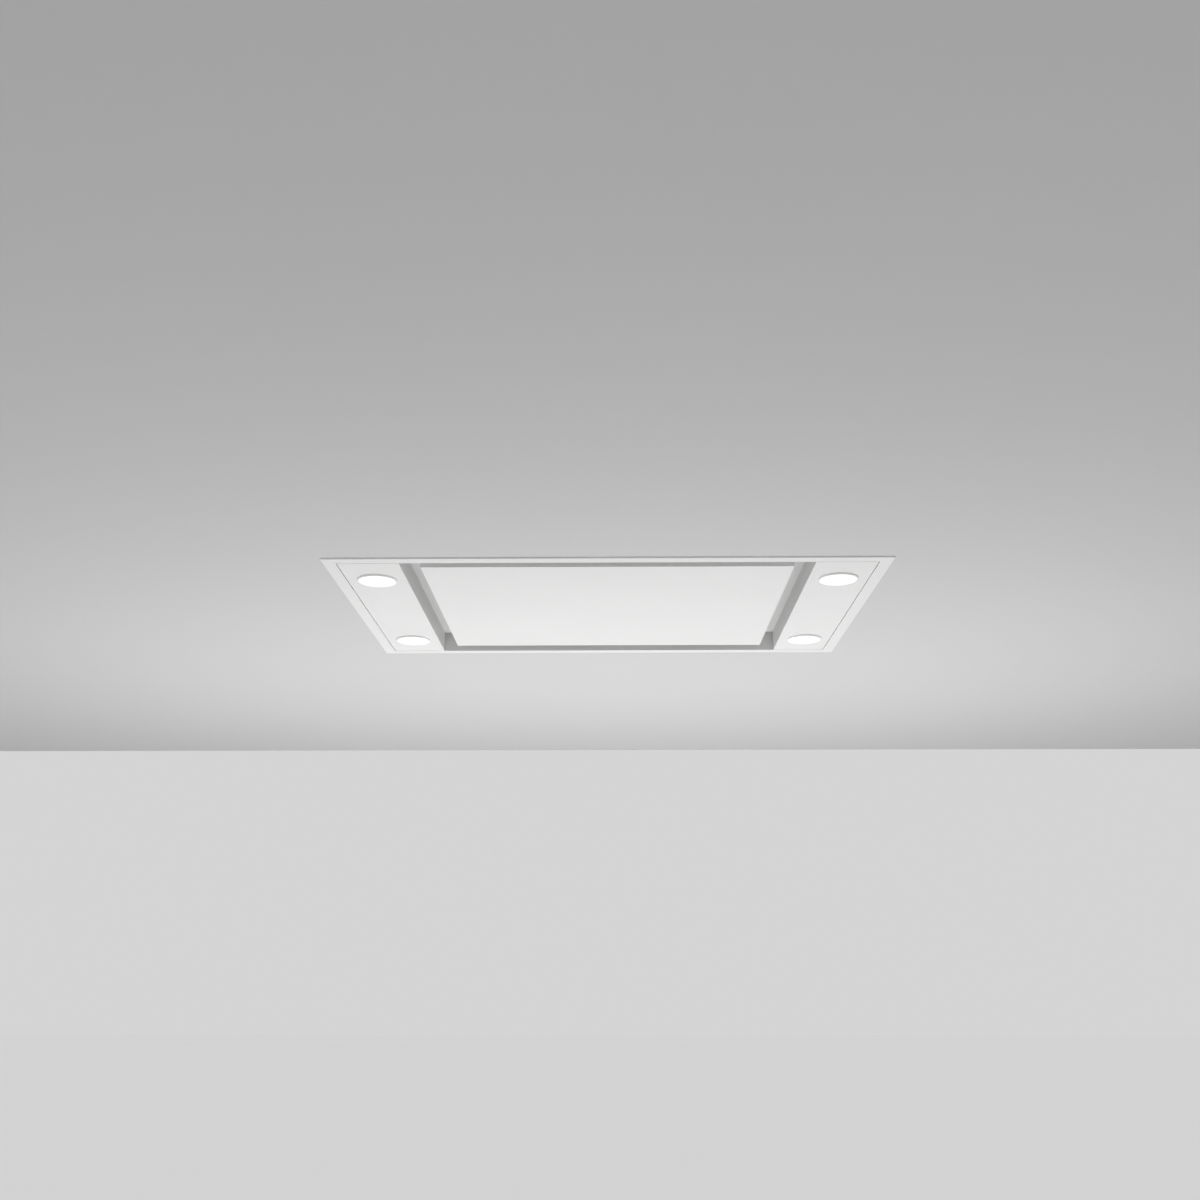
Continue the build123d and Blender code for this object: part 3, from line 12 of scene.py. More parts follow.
import bmesh
import bpy
from bpy.props import FloatProperty, FloatVectorProperty, IntProperty, PointerProperty
from mathutils import Matrix, Vector


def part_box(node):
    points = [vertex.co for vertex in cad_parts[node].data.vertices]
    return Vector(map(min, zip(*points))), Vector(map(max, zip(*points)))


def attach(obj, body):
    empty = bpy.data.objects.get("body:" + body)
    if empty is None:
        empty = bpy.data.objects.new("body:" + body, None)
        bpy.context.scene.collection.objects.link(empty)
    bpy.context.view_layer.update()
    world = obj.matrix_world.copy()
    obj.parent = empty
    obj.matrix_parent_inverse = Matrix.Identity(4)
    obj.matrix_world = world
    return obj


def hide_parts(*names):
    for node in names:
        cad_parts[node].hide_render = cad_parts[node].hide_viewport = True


bl_info = {
    "name": "Ceiling Hood Finishes",
    "version": (1, 0, 0),
    "blender": (4, 5, 0),
    "location": "3D View > Sidebar > Hood",
    "description": "Finishes, fine pieces and stage of a ceiling range hood",
    "category": "Object",
}

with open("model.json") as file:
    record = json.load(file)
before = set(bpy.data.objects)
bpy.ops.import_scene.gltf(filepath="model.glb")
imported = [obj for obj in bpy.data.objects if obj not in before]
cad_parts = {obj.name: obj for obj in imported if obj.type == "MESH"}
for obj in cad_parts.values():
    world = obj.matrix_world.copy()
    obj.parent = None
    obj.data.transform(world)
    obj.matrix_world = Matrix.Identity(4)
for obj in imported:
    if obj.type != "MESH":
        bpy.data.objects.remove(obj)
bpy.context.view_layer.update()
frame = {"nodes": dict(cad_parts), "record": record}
NODES = frame["nodes"]
SLOT_OF = {part["node"]: part["material_slot"] for part in frame["record"]["subparts"]}
SLOT_COLOURS = {entry["slot"]: entry["base_color"] for entry in frame["record"]["materials"]}


# ---------------------------------------------------------------- settings a user would change
def colour(label, description, default):
    return FloatVectorProperty(
        name=label,
        description=description,
        subtype="COLOR",
        size=3,
        min=0.0,
        max=1.0,
        default=default,
    )


def slot_colour(slot, label, description):
    """A colour setting whose default is the record's colour for that slot."""
    return colour(label, description, SLOT_COLOURS[slot])


def length(label, description, default):
    return FloatProperty(
        name=label,
        description=description,
        subtype="DISTANCE",
        unit="LENGTH",
        min=0.0,
        precision=4,
        default=default,
    )


def fraction(label, description, default):
    return FloatProperty(
        name=label, description=description, subtype="FACTOR", min=0.0, max=1.0, default=default
    )


def brightness(label, description, default):
    """Strength of the light that a surface gives off, where one shows as white."""
    return FloatProperty(name=label, description=description, min=0.0, max=20.0, default=default)


def wattage(label, description, default):
    """Power of a soft light."""
    return FloatProperty(
        name=label, description=description, unit="POWER", min=0.0, max=400.0, default=default
    )


def angle(label, description, default):
    return FloatProperty(name=label, description=description, subtype="ANGLE", default=default)


def count(label, description, least, most, default):
    return IntProperty(name=label, description=description, min=least, max=most, default=default)


class HoodColours(bpy.types.PropertyGroup):
    """Colours of the hood's finishes."""

    powder_coat: slot_colour("white_paint", "Powder coat", "Rim, panels and recess ceiling")
    # Painted shade: how much greyer the coat is painted up in the recess, in place of the shade
    # that falls there
    painted_recess_shade: fraction("Recess shade", "How much greyer the coat is up in the recess", 0.14)
    lamp_ring: slot_colour("white_trim", "Lamp rings", "Rings round the four lamps")
    lens: slot_colour("lit_lens", "Lenses", "Opal plastic of the four lenses")
    lamp_light: colour("Lamp light", "Colour of the light from the lenses", (1.0, 0.985, 0.96))
    galvanised: slot_colour("galvanised_steel", "Galvanised sheet", "Casing, blower and wheel")
    zinc: slot_colour("zinc_steel", "Zinc plating", "Brackets, clips, springs, pins and screws")
    aluminium: slot_colour("aluminium", "Aluminium", "Filters, heat sinks and capacitor")
    motor_paint: slot_colour("cast_metal", "Motor paint", "Motor housing and cap")
    black_plastic: slot_colour("black_plastic", "Black plastic", "Duct collar, flaps and latches")
    grey_plastic: slot_colour("grey_plastic", "Grey plastic", "Control box and lamp driver")
    white_plastic: slot_colour("white_plastic", "White plastic", "Push button")
    rubber: slot_colour("rubber", "Rubber", "Blower buffers")
    lead_jacket: slot_colour("black_plastic", "Leads", "Jackets of the leads inside the casing")
    solder_mask: slot_colour("circuit_board", "Solder mask", "Control board")
    board_dark: colour("Board parts, dark", "Dark parts of the control board", (0.035, 0.036, 0.04))
    board_pale: colour("Board parts, pale", "Pale parts of the control board", (0.075, 0.076, 0.08))
    lamp_board: colour("Lamp boards", "White solder mask of the lamp boards", (0.80, 0.80, 0.76))
    copper: slot_colour("copper_winding", "Copper", "Motor windings")
    core_dark: colour("Motor core, dark", "Seams of the motor's sheet core", (0.20, 0.20, 0.21))
    core_pale: colour("Motor core, pale", "Sheets of the motor's core", (0.36, 0.36, 0.37))
    ceiling: colour("Ceiling", "Paint of the ceiling round the hood", (0.66, 0.66, 0.66))
    backdrop: colour("Backdrop", "Pale colour seen behind the hood", (0.66, 0.66, 0.66))


class HoodSizes(bpy.types.PropertyGroup):
    """Sizes of the fine pieces and of the grain in the finishes."""

    peel: length("Coating texture", "Width of one dimple in the powder coat", 0.0022)
    spangle: length("Spangle", "Width of one zinc crystal on the galvanised sheet", 0.008)
    strand: length("Mesh strand", "Width of a strand of the filter mesh", 0.0014)
    mesh_layers: count("Mesh layers", "Sheets of stretched mesh in one filter", 1, 4, 2)
    layer_step: length("Layer step", "Height from one sheet of mesh to the next", 0.0008)
    mesh_step: length("Mesh step", "Half the length of one diamond of the filter mesh", 0.005)
    pleat_pitch: length("Pleat pitch", "Distance from one filter pleat to the next", 0.009)
    screw_head: length("Screw head", "Radius of the screw heads", 0.004)
    screw_head_height: length("Screw head height", "Height of the screw heads", 0.0024)
    screw_shank: length("Screw shank", "Outer radius of the screw threads", 0.002)
    thread_pitch: length("Thread pitch", "Distance from one screw thread to the next", 0.0007)
    recess_reach: length("Cross recess", "Reach of the cross recess from its middle", 0.0023)
    winding_end: length("Winding end", "Bare copper at each end of the motor's stator", 0.006)
    core_sheet: length("Core sheet", "Thickness of one sheet of the motor's core", 0.001)
    board_thickness: length("Board thickness", "Thickness of the bare control board", 0.0016)
    track_step: length("Track step", "Distance between the tracks on the control board", 0.007)
    ring_segments: count("Round segments", "Sides of a screw's round faces", 8, 64, 24)


class HoodStage(bpy.types.PropertyGroup):
    """Camera, lights and surroundings."""

    focal_length: FloatProperty(
        name="Focal length",
        description="Camera lens, in millimetres",
        unit="CAMERA",
        min=10.0,
        max=200.0,
        default=37.37,
    )
    camera_place: FloatVectorProperty(
        name="Camera place",
        description="Where the camera stands",
        subtype="TRANSLATION",
        unit="LENGTH",
        size=3,
        default=(0.00962, -2.1468, -0.6218),
    )
    camera_pitch: angle("Camera pitch", "Camera's tilt above the horizon", 0.2903)
    camera_yaw: angle("Camera yaw", "Camera's turn to the left of +Y", 0.01112)
    floor_depth: length("Floor depth", "Floor below the ceiling", 2.4)
    floor_half: length("Floor reach", "Half the width of the floor", 36.0)
    ceiling_half: length("Ceiling half width", "Half the width of the ceiling board", 2.2)
    ceiling_near: length("Ceiling near end", "Reach of the ceiling on the near side", 1.75)
    ceiling_far: length("Ceiling far end", "Reach of the ceiling on the far side", 1.467)
    ceiling_lift: length("Ceiling lift", "Ceiling board above the rim's seat", 0.0002)
    cutout_margin: length("Cut-out margin", "Ceiling cut-out inside the rim's outer edge", 0.0003)
    room_light: brightness("Room light", "Strength of the light from all round", 0.6)
    main_power: wattage("Main light", "Power of the soft light below the hood", 19.0)
    bounce_power: wattage("Bounce light", "Power of the wide light over the floor", 8.0)
    fill_power: wattage("Fill light", "Power of the soft light on the near side", 1.5)
    top_power: wattage("Top light", "Power of the soft light above the casing", 16.0)
    floor_glow: fraction("Floor glow", "What brings the floor up to the backdrop's tone", 0.37)
    lamp_strength: brightness("Lamp strength", "Brightness of the four lit lenses", 2.6)
    lens_edge: fraction("Lens edge", "Brightness at a lens's edge, beside that at its middle", 0.7)
    # Painted light: the lamp rings are given a glow of the lamps' colour, which fades out at their
    # outer edge
    painted_glow_fade: length("Ring fade", "Width over which the lamps' light fades on their rings", 0.003)
    painted_ring_glow: brightness("Ring glow", "Light that the lamp rings take from their lenses", 0.35)


# ---------------------------------------------------------------- how a finish is made
NOISE_SPAN = (0.3, 0.7)  # where most of a noise's values lie
FULL_SPAN = (0.0, 1.0)


class Finish:
    """One material: a principled shader and the procedural nodes that feed it."""

    def __init__(self, name, base, roughness, metallic=0.0):
        self.material = bpy.data.materials.get(name) or bpy.data.materials.new(name)
        self.material.use_nodes = True
        self.tree = self.material.node_tree
        self.tree.nodes.clear()
        self.shader = self.tree.nodes.new("ShaderNodeBsdfPrincipled")
        self.output = self.tree.nodes.new("ShaderNodeOutputMaterial")
        self.tree.links.new(self.shader.outputs["BSDF"], self.output.inputs["Surface"])
        self.base = tuple(base)
        self.set("Base Color", (*self.base, 1.0))
        self.set("Roughness", roughness)
        self.set("Metallic", metallic)
        self.place = self.add("ShaderNodeTexCoord").outputs["Object"]

    def add(self, kind, **options):
        """A new node. An option is one of the node's own settings or one of its inputs."""
        node = self.tree.nodes.new(kind)
        for name, value in options.items():
            if hasattr(node, name):
                setattr(node, name, value)
            else:
                self.feed(node.inputs[name.replace("_", " ").title()], value)
        return node

    def feed(self, socket, value):
        if isinstance(value, bpy.types.NodeSocket):
            self.tree.links.new(value, socket)
        else:
            socket.default_value = value

    def set(self, name, value):
        """Feeds one of the shader's own inputs."""
        self.feed(self.shader.inputs[name], value)

    def height(self):
        """The surface's height above the ceiling plane."""
        return self.add("ShaderNodeSeparateXYZ", Vector=self.place).outputs["Z"]

    def noise(self, width, detail=2.0, stretch=None):
        """Noise whose grains are about that wide, in metres, before a stretch along each axis."""
        place = self.place
        if stretch is not None:
            place = self.add("ShaderNodeMapping", Vector=place, Scale=stretch).outputs["Vector"]
        node = self.add("ShaderNodeTexNoise", Vector=place, Scale=1.0 / width, Detail=detail)
        return node.outputs["Fac"]

    def cells(self, width, output="Color", feature="F1"):
        """Irregular cells about that wide, in metres."""
        scale = 1.0 / width
        node = self.add("ShaderNodeTexVoronoi", feature=feature, Vector=self.place, Scale=scale)
        return node.outputs[output]

    def cell_edges(self, width):
        """Distance to the nearest edge of irregular cells about that wide."""
        return self.cells(width, "Distance", "DISTANCE_TO_EDGE")

    def map(self, source, span, to_low, to_high):
        """The source's span of values, mapped to another span and held there."""
        node = self.add("ShaderNodeMapRange", clamp=True)
        low, high = span
        ends = {"From Min": low, "From Max": high, "To Min": to_low, "To Max": to_high}
        for name, value in {"Value": source, **ends}.items():
            self.feed(node.inputs[name], value)
        return node.outputs["Result"]

    def math(self, operation, first, second=0.0):
        node = self.add("ShaderNodeMath", operation=operation)
        self.feed(node.inputs[0], first)
        self.feed(node.inputs[1], second)
        return node.outputs["Value"]

    def mix(self, factor, first, second):
        """A colour between two colours or sockets."""
        node = self.add("ShaderNodeMix", data_type="RGBA")
        for index, value in ((0, factor), (6, first), (7, second)):
            self.feed(node.inputs[index], (*value, 1.0) if isinstance(value, tuple) else value)
        return node.outputs[2]

    def shade(self, share):
        """The base colour made lighter or darker by a share."""
        return tuple(min(1.0, max(0.0, channel * (1.0 + share))) for channel in self.base)

    def tinted(self, shares):
        """The base colour with each channel times a share."""
        return tuple(channel * share for channel, share in zip(self.base, shares))

    def shaded(self, source, darkest, palest):
        """The base colour, shaded from one share to another by the source."""
        return self.mix(source, self.shade(darkest), self.shade(palest))

    def roughness_from(self, source, smoothest, roughest, span=NOISE_SPAN):
        """Roughness between two values, as the source runs over a span."""
        self.set("Roughness", self.map(source, span, smoothest, roughest))

    def glow_from(self, source, light):
        """Light of a colour, as strong as the source says."""
        self.set("Emission Color", (*light, 1.0))
        self.set("Emission Strength", source)

    def relief(self, height, depth, strength=1.0):
        """Relief of that depth in metres, on top of any relief the finish has already."""
        node = self.add("ShaderNodeBump", Height=height, Distance=depth, Strength=strength)
        before = self.shader.inputs["Normal"]
        if before.is_linked:
            self.feed(node.inputs["Normal"], before.links[0].from_socket)
        self.feed(before, node.outputs["Normal"])

    def coat(self, *names):
        """Gives the finish to these nodes of the model."""
        for name in names:
            paint(NODES[name], self.material)


def paint(piece, material):
    piece.data.materials.clear()
    piece.data.materials.append(material)
    for polygon in piece.data.polygons:
        polygon.material_index = 0


def settings(context):
    scene = context.scene
    return scene.hood_colours, scene.hood_sizes, scene.hood_stage


def new_object(name, data):
    """An object in the scene, in place of an earlier one of that name."""
    old = bpy.data.objects.get(name)
    if old is not None:
        bpy.data.objects.remove(old)
    made = bpy.data.objects.new(name, data)
    bpy.context.scene.collection.objects.link(made)
    return made


def new_mesh(name, builder):
    """A scene object from a bmesh, which is used up."""
    mesh = bpy.data.meshes.new(name)
    builder.to_mesh(mesh)
    builder.free()
    return new_object(name, mesh)


def new_piece(name, builder, material, body):
    """A piece of the hood from a bmesh, in a finish, riding on a body of the model."""
    piece = new_mesh(name, builder)
    paint(piece, material)
    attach(piece, body)
    return piece


# ---------------------------------------------------------------- finishes
TINY = 1e-6  # keeps divisions and roundings safe, and joins vertices in one place
PAINTED_SHADE_SHARE = 0.7  # of the recess's height, over which painted shade turns the coat greyer
WARM_ZINC = (1.05, 1.0, 0.90)
COOL_ZINC = (0.93, 0.98, 1.04)
ALONG_Y = (1.0, 0.04, 1.0)  # stretch of a grain that runs along Y
ALONG_Z = (1.0, 1.0, 0.15)  # stretch of strands that run along Z
BOARD_CLEARANCE = 1.05  # board's thicknesses below its top where its parts begin
TRACK_EDGE = (0.05, 0.09)  # side of a track, as shares of a cell


def powder_coat(colours, sizes):
    """White powder coat: fine orange peel, slightly cloudy, with painted shade that greys it up in
    the recess.
    """
    finish = Finish("white_powder_coat", colours.powder_coat, roughness=0.36)
    cloud = finish.map(finish.noise(width=0.16, detail=3.0), NOISE_SPAN, *FULL_SPAN)
    white = finish.shaded(cloud, darkest=-0.012, palest=0.010)
    # Painted shade: the coat is painted greyer with height up into the recess
    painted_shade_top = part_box("filter_carrier")[0].z * PAINTED_SHADE_SHARE
    painted_recess_shading = finish.map(finish.height(), (0.0, painted_shade_top), *FULL_SPAN)
    finish.set("Base Color", finish.mix(painted_recess_shading, white, finish.shade(-colours.painted_recess_shade)))
    finish.roughness_from(finish.noise(width=sizes.peel * 0.3), smoothest=0.32, roughest=0.42)
    finish.relief(finish.noise(width=sizes.peel, detail=1.0), depth=0.00002, strength=0.35)
    return finish


def near_lamp():
    """The middle of the near right lamp, and the radii of its ring and its lens."""
    low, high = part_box("lamp_bezel_near_right")
    middle = (low + high) / 2
    return middle, (high.x - low.x) / 2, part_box("lamp_lenses")[1].x - middle.x


def from_lamp_centre(finish):
    """Distance from the middle of the nearest lens. The lamps are mirrored, so one serves all."""
    middle, _, _ = near_lamp()
    folded = finish.add("ShaderNodeVectorMath", operation="ABSOLUTE")
    finish.feed(folded.inputs[0], finish.place)
    away = finish.add("ShaderNodeVectorMath", operation="DISTANCE")
    finish.feed(away.inputs[0], folded.outputs["Vector"])
    finish.feed(away.inputs[1], (abs(middle.x), abs(middle.y), 0.0))
    return away.outputs["Value"]


def lamp_ring_paint(colours, stage):
    """Satin white translucent lamp rings, with a painted glow in place of the light from the lens
    beside them.
    """
    finish = Finish("white_lamp_ring", colours.lamp_ring, roughness=0.28)
    finish.roughness_from(finish.noise(width=0.0006), smoothest=0.24, roughest=0.33)
    finish.set("Base Color", finish.shaded(finish.noise(width=0.02), darkest=-0.01, palest=0.01))
    finish.relief(finish.noise(width=0.0012, detail=1.0), depth=0.00001, strength=0.3)
    # Painted light: the rings glow with the lamps' colour, fading out over a short width at their
    # outer edge
    _, edge, _ = near_lamp()
    fade = (edge - stage.painted_glow_fade, edge)
    painted_ring_light = finish.map(from_lamp_centre(finish), fade, stage.painted_ring_glow, 0.0)
    finish.glow_from(painted_ring_light, colours.lamp_light)
    return finish


def opal_lens(colours, stage):
    """Frosted opal plastic, lit from behind and a little brighter in the middle of each lens."""
    finish = Finish("opal_lens_lit", colours.lens, roughness=0.45)
    _, _, radius = near_lamp()
    middle = stage.lamp_strength
    glow = finish.map(from_lamp_centre(finish), (0.0, radius), middle, middle * stage.lens_edge)
    frost = finish.noise(width=0.0008)
    finish.roughness_from(frost, smoothest=0.4, roughest=0.55)
    finish.relief(frost, depth=0.00002, strength=0.4)
    finish.glow_from(glow, colours.lamp_light)
    return finish


def galvanised_sheet(colours, sizes):
    """Hot-dip galvanised sheet: large dull crystals of differing tone, and a soft waviness."""
    finish = Finish("galvanised_sheet", colours.galvanised, roughness=0.4, metallic=1.0)
    crystals = finish.add("ShaderNodeSeparateColor", Color=finish.cells(sizes.spangle))
    tone = finish.math("MULTIPLY", crystals.outputs["Red"], 0.7)
    fine = finish.math("MULTIPLY", finish.noise(width=0.004, detail=4.0), 0.3)
    spangled = finish.math("ADD", tone, fine)
    finish.set("Base Color", finish.shaded(spangled, darkest=-0.09, palest=0.07))
    finish.roughness_from(crystals.outputs["Green"], smoothest=0.34, roughest=0.46, span=FULL_SPAN)
    finish.relief(finish.noise(width=0.10), depth=0.0004, strength=0.25)
    finish.relief(finish.cell_edges(sizes.spangle), depth=0.00005, strength=0.15)
    return finish


def zinc_plate(colours):
    """Bright zinc plating with a faint warm and cool drift."""
    finish = Finish("zinc_plate", colours.zinc, roughness=0.3, metallic=1.0)
    drift = finish.map(finish.noise(width=0.02, detail=3.0), (0.35, 0.65), *FULL_SPAN)
    finish.set("Base Color", finish.mix(drift, finish.tinted(WARM_ZINC), finish.tinted(COOL_ZINC)))
    finish.roughness_from(finish.noise(width=0.0015, detail=3.0), smoothest=0.24, roughest=0.40)
    finish.relief(finish.noise(width=0.0009), depth=0.00001, strength=0.4)
    return finish


def brushed_aluminium(colours):
    """Aluminium sheet with a fine grain along Y."""
    finish = Finish("brushed_aluminium", colours.aluminium, roughness=0.34, metallic=1.0)
    grain = finish.noise(width=0.0006, detail=3.0, stretch=ALONG_Y)
    finish.set("Base Color", finish.shaded(grain, darkest=-0.10, palest=0.06))
    finish.roughness_from(grain, smoothest=0.28, roughest=0.44)
    finish.relief(grain, depth=0.00001, strength=0.5)
    finish.relief(finish.noise(width=0.05), depth=0.0001, strength=0.2)
    return finish


def mesh_aluminium(colours):
    """Bare stretched aluminium of the filter mesh, duller in places."""
    finish = Finish("mesh_aluminium", colours.aluminium, roughness=0.38, metallic=1.0)
    dull = finish.map(finish.noise(width=0.012, detail=3.0), NOISE_SPAN, *FULL_SPAN)
    finish.set("Base Color", finish.shaded(dull, darkest=-0.14, palest=0.05))
    scratches = finish.noise(width=0.002)
    finish.roughness_from(scratches, smoothest=0.3, roughest=0.48)
    finish.relief(scratches, depth=0.00004, strength=0.4)
    return finish


def motor_paint(colours):
    """Grey stove enamel over a cast housing."""
    finish = Finish("motor_enamel", colours.motor_paint, roughness=0.42)
    cloud = finish.noise(width=0.012, detail=3.0)
    finish.set("Base Color", finish.shaded(cloud, darkest=-0.08, palest=0.08))
    finish.roughness_from(finish.noise(width=0.001), smoothest=0.36, roughest=0.52)
    finish.relief(finish.noise(width=0.0025, detail=3.0), depth=0.00008, strength=0.5)
    return finish


def moulded_plastic(name, base, roughness, grain=0.0007):
    """Moulded plastic with a fine spark-eroded grain and a slight change of tone."""
    finish = Finish(name, base, roughness)
    texture = finish.noise(width=grain)
    finish.set("Base Color", finish.shaded(finish.noise(width=0.03), darkest=-0.05, palest=0.06))
    finish.roughness_from(texture, smoothest=roughness - 0.05, roughest=roughness + 0.08)
    finish.relief(texture, depth=0.00003, strength=0.5)
    return finish


def rubber(colours):
    """Matt moulded rubber with a dusty bloom."""
    finish = Finish("buffer_rubber", colours.rubber, roughness=0.8)
    bloom = finish.noise(width=0.006, detail=4.0)
    dust = finish.map(bloom, (0.45, 0.75), *FULL_SPAN)
    finish.set("Base Color", finish.mix(dust, finish.base, finish.shade(0.9)))
    finish.roughness_from(bloom, smoothest=0.72, roughest=0.9)
    finish.relief(finish.noise(width=0.0005), depth=0.00003, strength=0.5)
    return finish


def circuit_board(colours, sizes):
    """Green solder mask over copper tracks. What hangs from the board is a dark moulding."""
    finish = Finish("control_board_mask", colours.solder_mask, roughness=0.3)
    track = finish.map(finish.cell_edges(sizes.track_step), TRACK_EDGE, 1.0, 0.0)
    mask = finish.mix(track, finish.base, finish.shade(0.6))
    board_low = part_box("control_board")[1].z - sizes.board_thickness * BOARD_CLEARANCE
    hangs = finish.math("LESS_THAN", finish.height(), board_low)
    dark, pale = tuple(colours.board_dark), tuple(colours.board_pale)
    moulding = finish.mix(finish.noise(width=0.01), dark, pale)
    finish.set("Base Color", finish.mix(hangs, mask, moulding))
    finish.roughness_from(finish.noise(width=0.003), smoothest=0.24, roughest=0.38)
    finish.relief(track, depth=0.00004, strength=0.6)
    return finish


def led_board(colours):
    """White solder mask of the lamp boards, with a faint weave under it."""
    finish = Finish("lamp_board_mask", colours.lamp_board, roughness=0.35)
    weave = finish.noise(width=0.0012)
    finish.set("Base Color", finish.shaded(weave, darkest=-0.04, palest=0.04))
    finish.roughness_from(weave, smoothest=0.3, roughest=0.42)
    finish.relief(weave, depth=0.00001, strength=0.4)
    return finish


def winding(colours, sizes):
    """Lacquered copper at the stator's two ends, with the stacked core between them."""
    finish = Finish("stator_winding", colours.copper, roughness=0.35, metallic=0.9)
    low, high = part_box("motor_stator")
    height = finish.height()
    from_middle = finish.math("ABSOLUTE", finish.math("SUBTRACT", height, (low.z + high.z) / 2))
    copper = finish.math("GREATER_THAN", from_middle, (high.z - low.z) / 2 - sizes.winding_end)
    strands = finish.noise(width=0.0008, stretch=ALONG_Z)
    wire = finish.shaded(strands, darkest=-0.35, palest=0.15)
    sheets = finish.math("SINE", finish.math("MULTIPLY", height, 2 * math.pi / sizes.core_sheet))
    dark, pale = tuple(colours.core_dark), tuple(colours.core_pale)
    core = finish.mix(finish.map(sheets, (-1.0, 1.0), *FULL_SPAN), dark, pale)
    finish.set("Base Color", finish.mix(copper, core, wire))
    finish.roughness_from(strands, smoothest=0.3, roughest=0.5)
    finish.relief(strands, depth=0.0001, strength=0.6)
    return finish


# ---------------------------------------------------------------- operators, one for each group
def in_slot(wanted):
    """The model's nodes that have this material slot."""
    return [name for name, slot in SLOT_OF.items() if slot == wanted]


class HOOD_OT_white_panels(bpy.types.Operator):
    """Coats the rim, the lamp panels, the centre panel and the recess ceiling"""

    bl_idname = "hood.white_panels"
    bl_label = "White Panels"

    def execute(self, context):
        colours, sizes, _ = settings(context)
        powder_coat(colours, sizes).coat(*in_slot("white_paint"))
        return {"FINISHED"}


class HOOD_OT_lamps(bpy.types.Operator):
    """Finishes the four lamps: rings, lit lenses and boards"""

    bl_idname = "hood.lamps"
    bl_label = "Lamps"

    def execute(self, context):
        colours, _, stage = settings(context)
        lamp_ring_paint(colours, stage).coat(*in_slot("white_trim"))
        opal_lens(colours, stage).coat("lamp_lenses")
        led_board(colours).coat("lamp_led_boards")
        return {"FINISHED"}


class HOOD_OT_sheet_metal(bpy.types.Operator):
    """Finishes the galvanised casing, blower housing, transition, panel rails and wheel"""

    bl_idname = "hood.sheet_metal"
    bl_label = "Galvanised Sheet"

    def execute(self, context):
        colours, sizes, _ = settings(context)
        galvanised_sheet(colours, sizes).coat(*in_slot("galvanised_steel"))
        return {"FINISHED"}


class HOOD_OT_hardware(bpy.types.Operator):
    """Finishes the zinc-plated brackets, clips, hinges, springs and bearings"""

    bl_idname = "hood.hardware"
    bl_label = "Plated Hardware"

    def execute(self, context):
        colours, _, _ = settings(context)
        zinc_plate(colours).coat(*in_slot("zinc_steel"))
        return {"FINISHED"}


HEAD_REACH = 0.4  # of a screw's width, past which only its head reaches
RECESS_ARM = 0.26  # half an arm's width, as a share of the recess's reach
RECESS_FLOOR = 0.62  # the recess's floor, as a share of its outline
RECESS_DEPTH = 0.62  # as a share of the head's height
RECESS_EDGE = 0.00004  # the recess's upper edge, below the head's top
DOME_RINGS = (0.72, 0.84, 0.93, 0.985, 1.0)  # as shares of the head's radius
DOME_DROP = 0.72  # of the head's height, at its rim
THREAD_STEPS = ((0.86, 0.25), (1.0, 0.75))  # shares of the shank's radius and of the pitch
PLAIN_TIP = 0.0012  # end of the shank with no thread
TIP_RADIUS = 0.55  # as a share of the shank's radius


def islands(mesh):
    """The separate solids of a mesh, each as a list of its vertices' places."""
    builder = bmesh.new()
    builder.from_mesh(mesh)
    bmesh.ops.remove_doubles(builder, verts=builder.verts, dist=TINY)
    seen, found = set(), []
    for start in builder.verts:
        if start in seen:
            continue
        seen.add(start)
        frontier, island = [start], []
        while frontier:
            vertex = frontier.pop()
            island.append(vertex.co.copy())
            near = [edge.other_vert(vertex) for edge in vertex.link_edges]
            fresh = [other for other in near if other not in seen]
            seen.update(fresh)
            frontier.extend(fresh)
        found.append(island)
    builder.free()
    return found


def screw_axis(points):
    """The outside of a screw's head, the direction of its shank, and its whole length."""
    low = Vector(map(min, zip(*points)))
    high = Vector(map(max, zip(*points)))
    size = high - low
    along = max(range(3), key=lambda axis: size[axis])
    across = (along + 1) % 3
    middle = (low + high) / 2
    head = [p for p in points if abs((p - middle)[across]) > size[across] * HEAD_REACH]
    head_at_low = sum(p[along] for p in head) / len(head) < middle[along]
    direction = Vector((0.0, 0.0, 0.0))
    direction[along] = 1.0 if head_at_low else -1.0
    top = middle.copy()
    top[along] = low[along] if head_at_low else high[along]
    return top, direction, size[along]


def bridge(builder, first, second):
    """Faces between two rings of as many vertices."""
    around = len(first)
    for n in range(around):
        after = (n + 1) % around
        builder.faces.new((first[n], first[after], second[after], second[n]))


def recess_radius(turn, reach):
    """Outline of a cross recess, as a radius for each turn round its middle."""
    folded = abs((turn + math.pi / 4) % (math.pi / 2) - math.pi / 4)
    straight = reach / max(math.cos(folded), TINY)
    side = reach * RECESS_ARM / max(math.sin(folded), TINY)
    return min(straight, side)


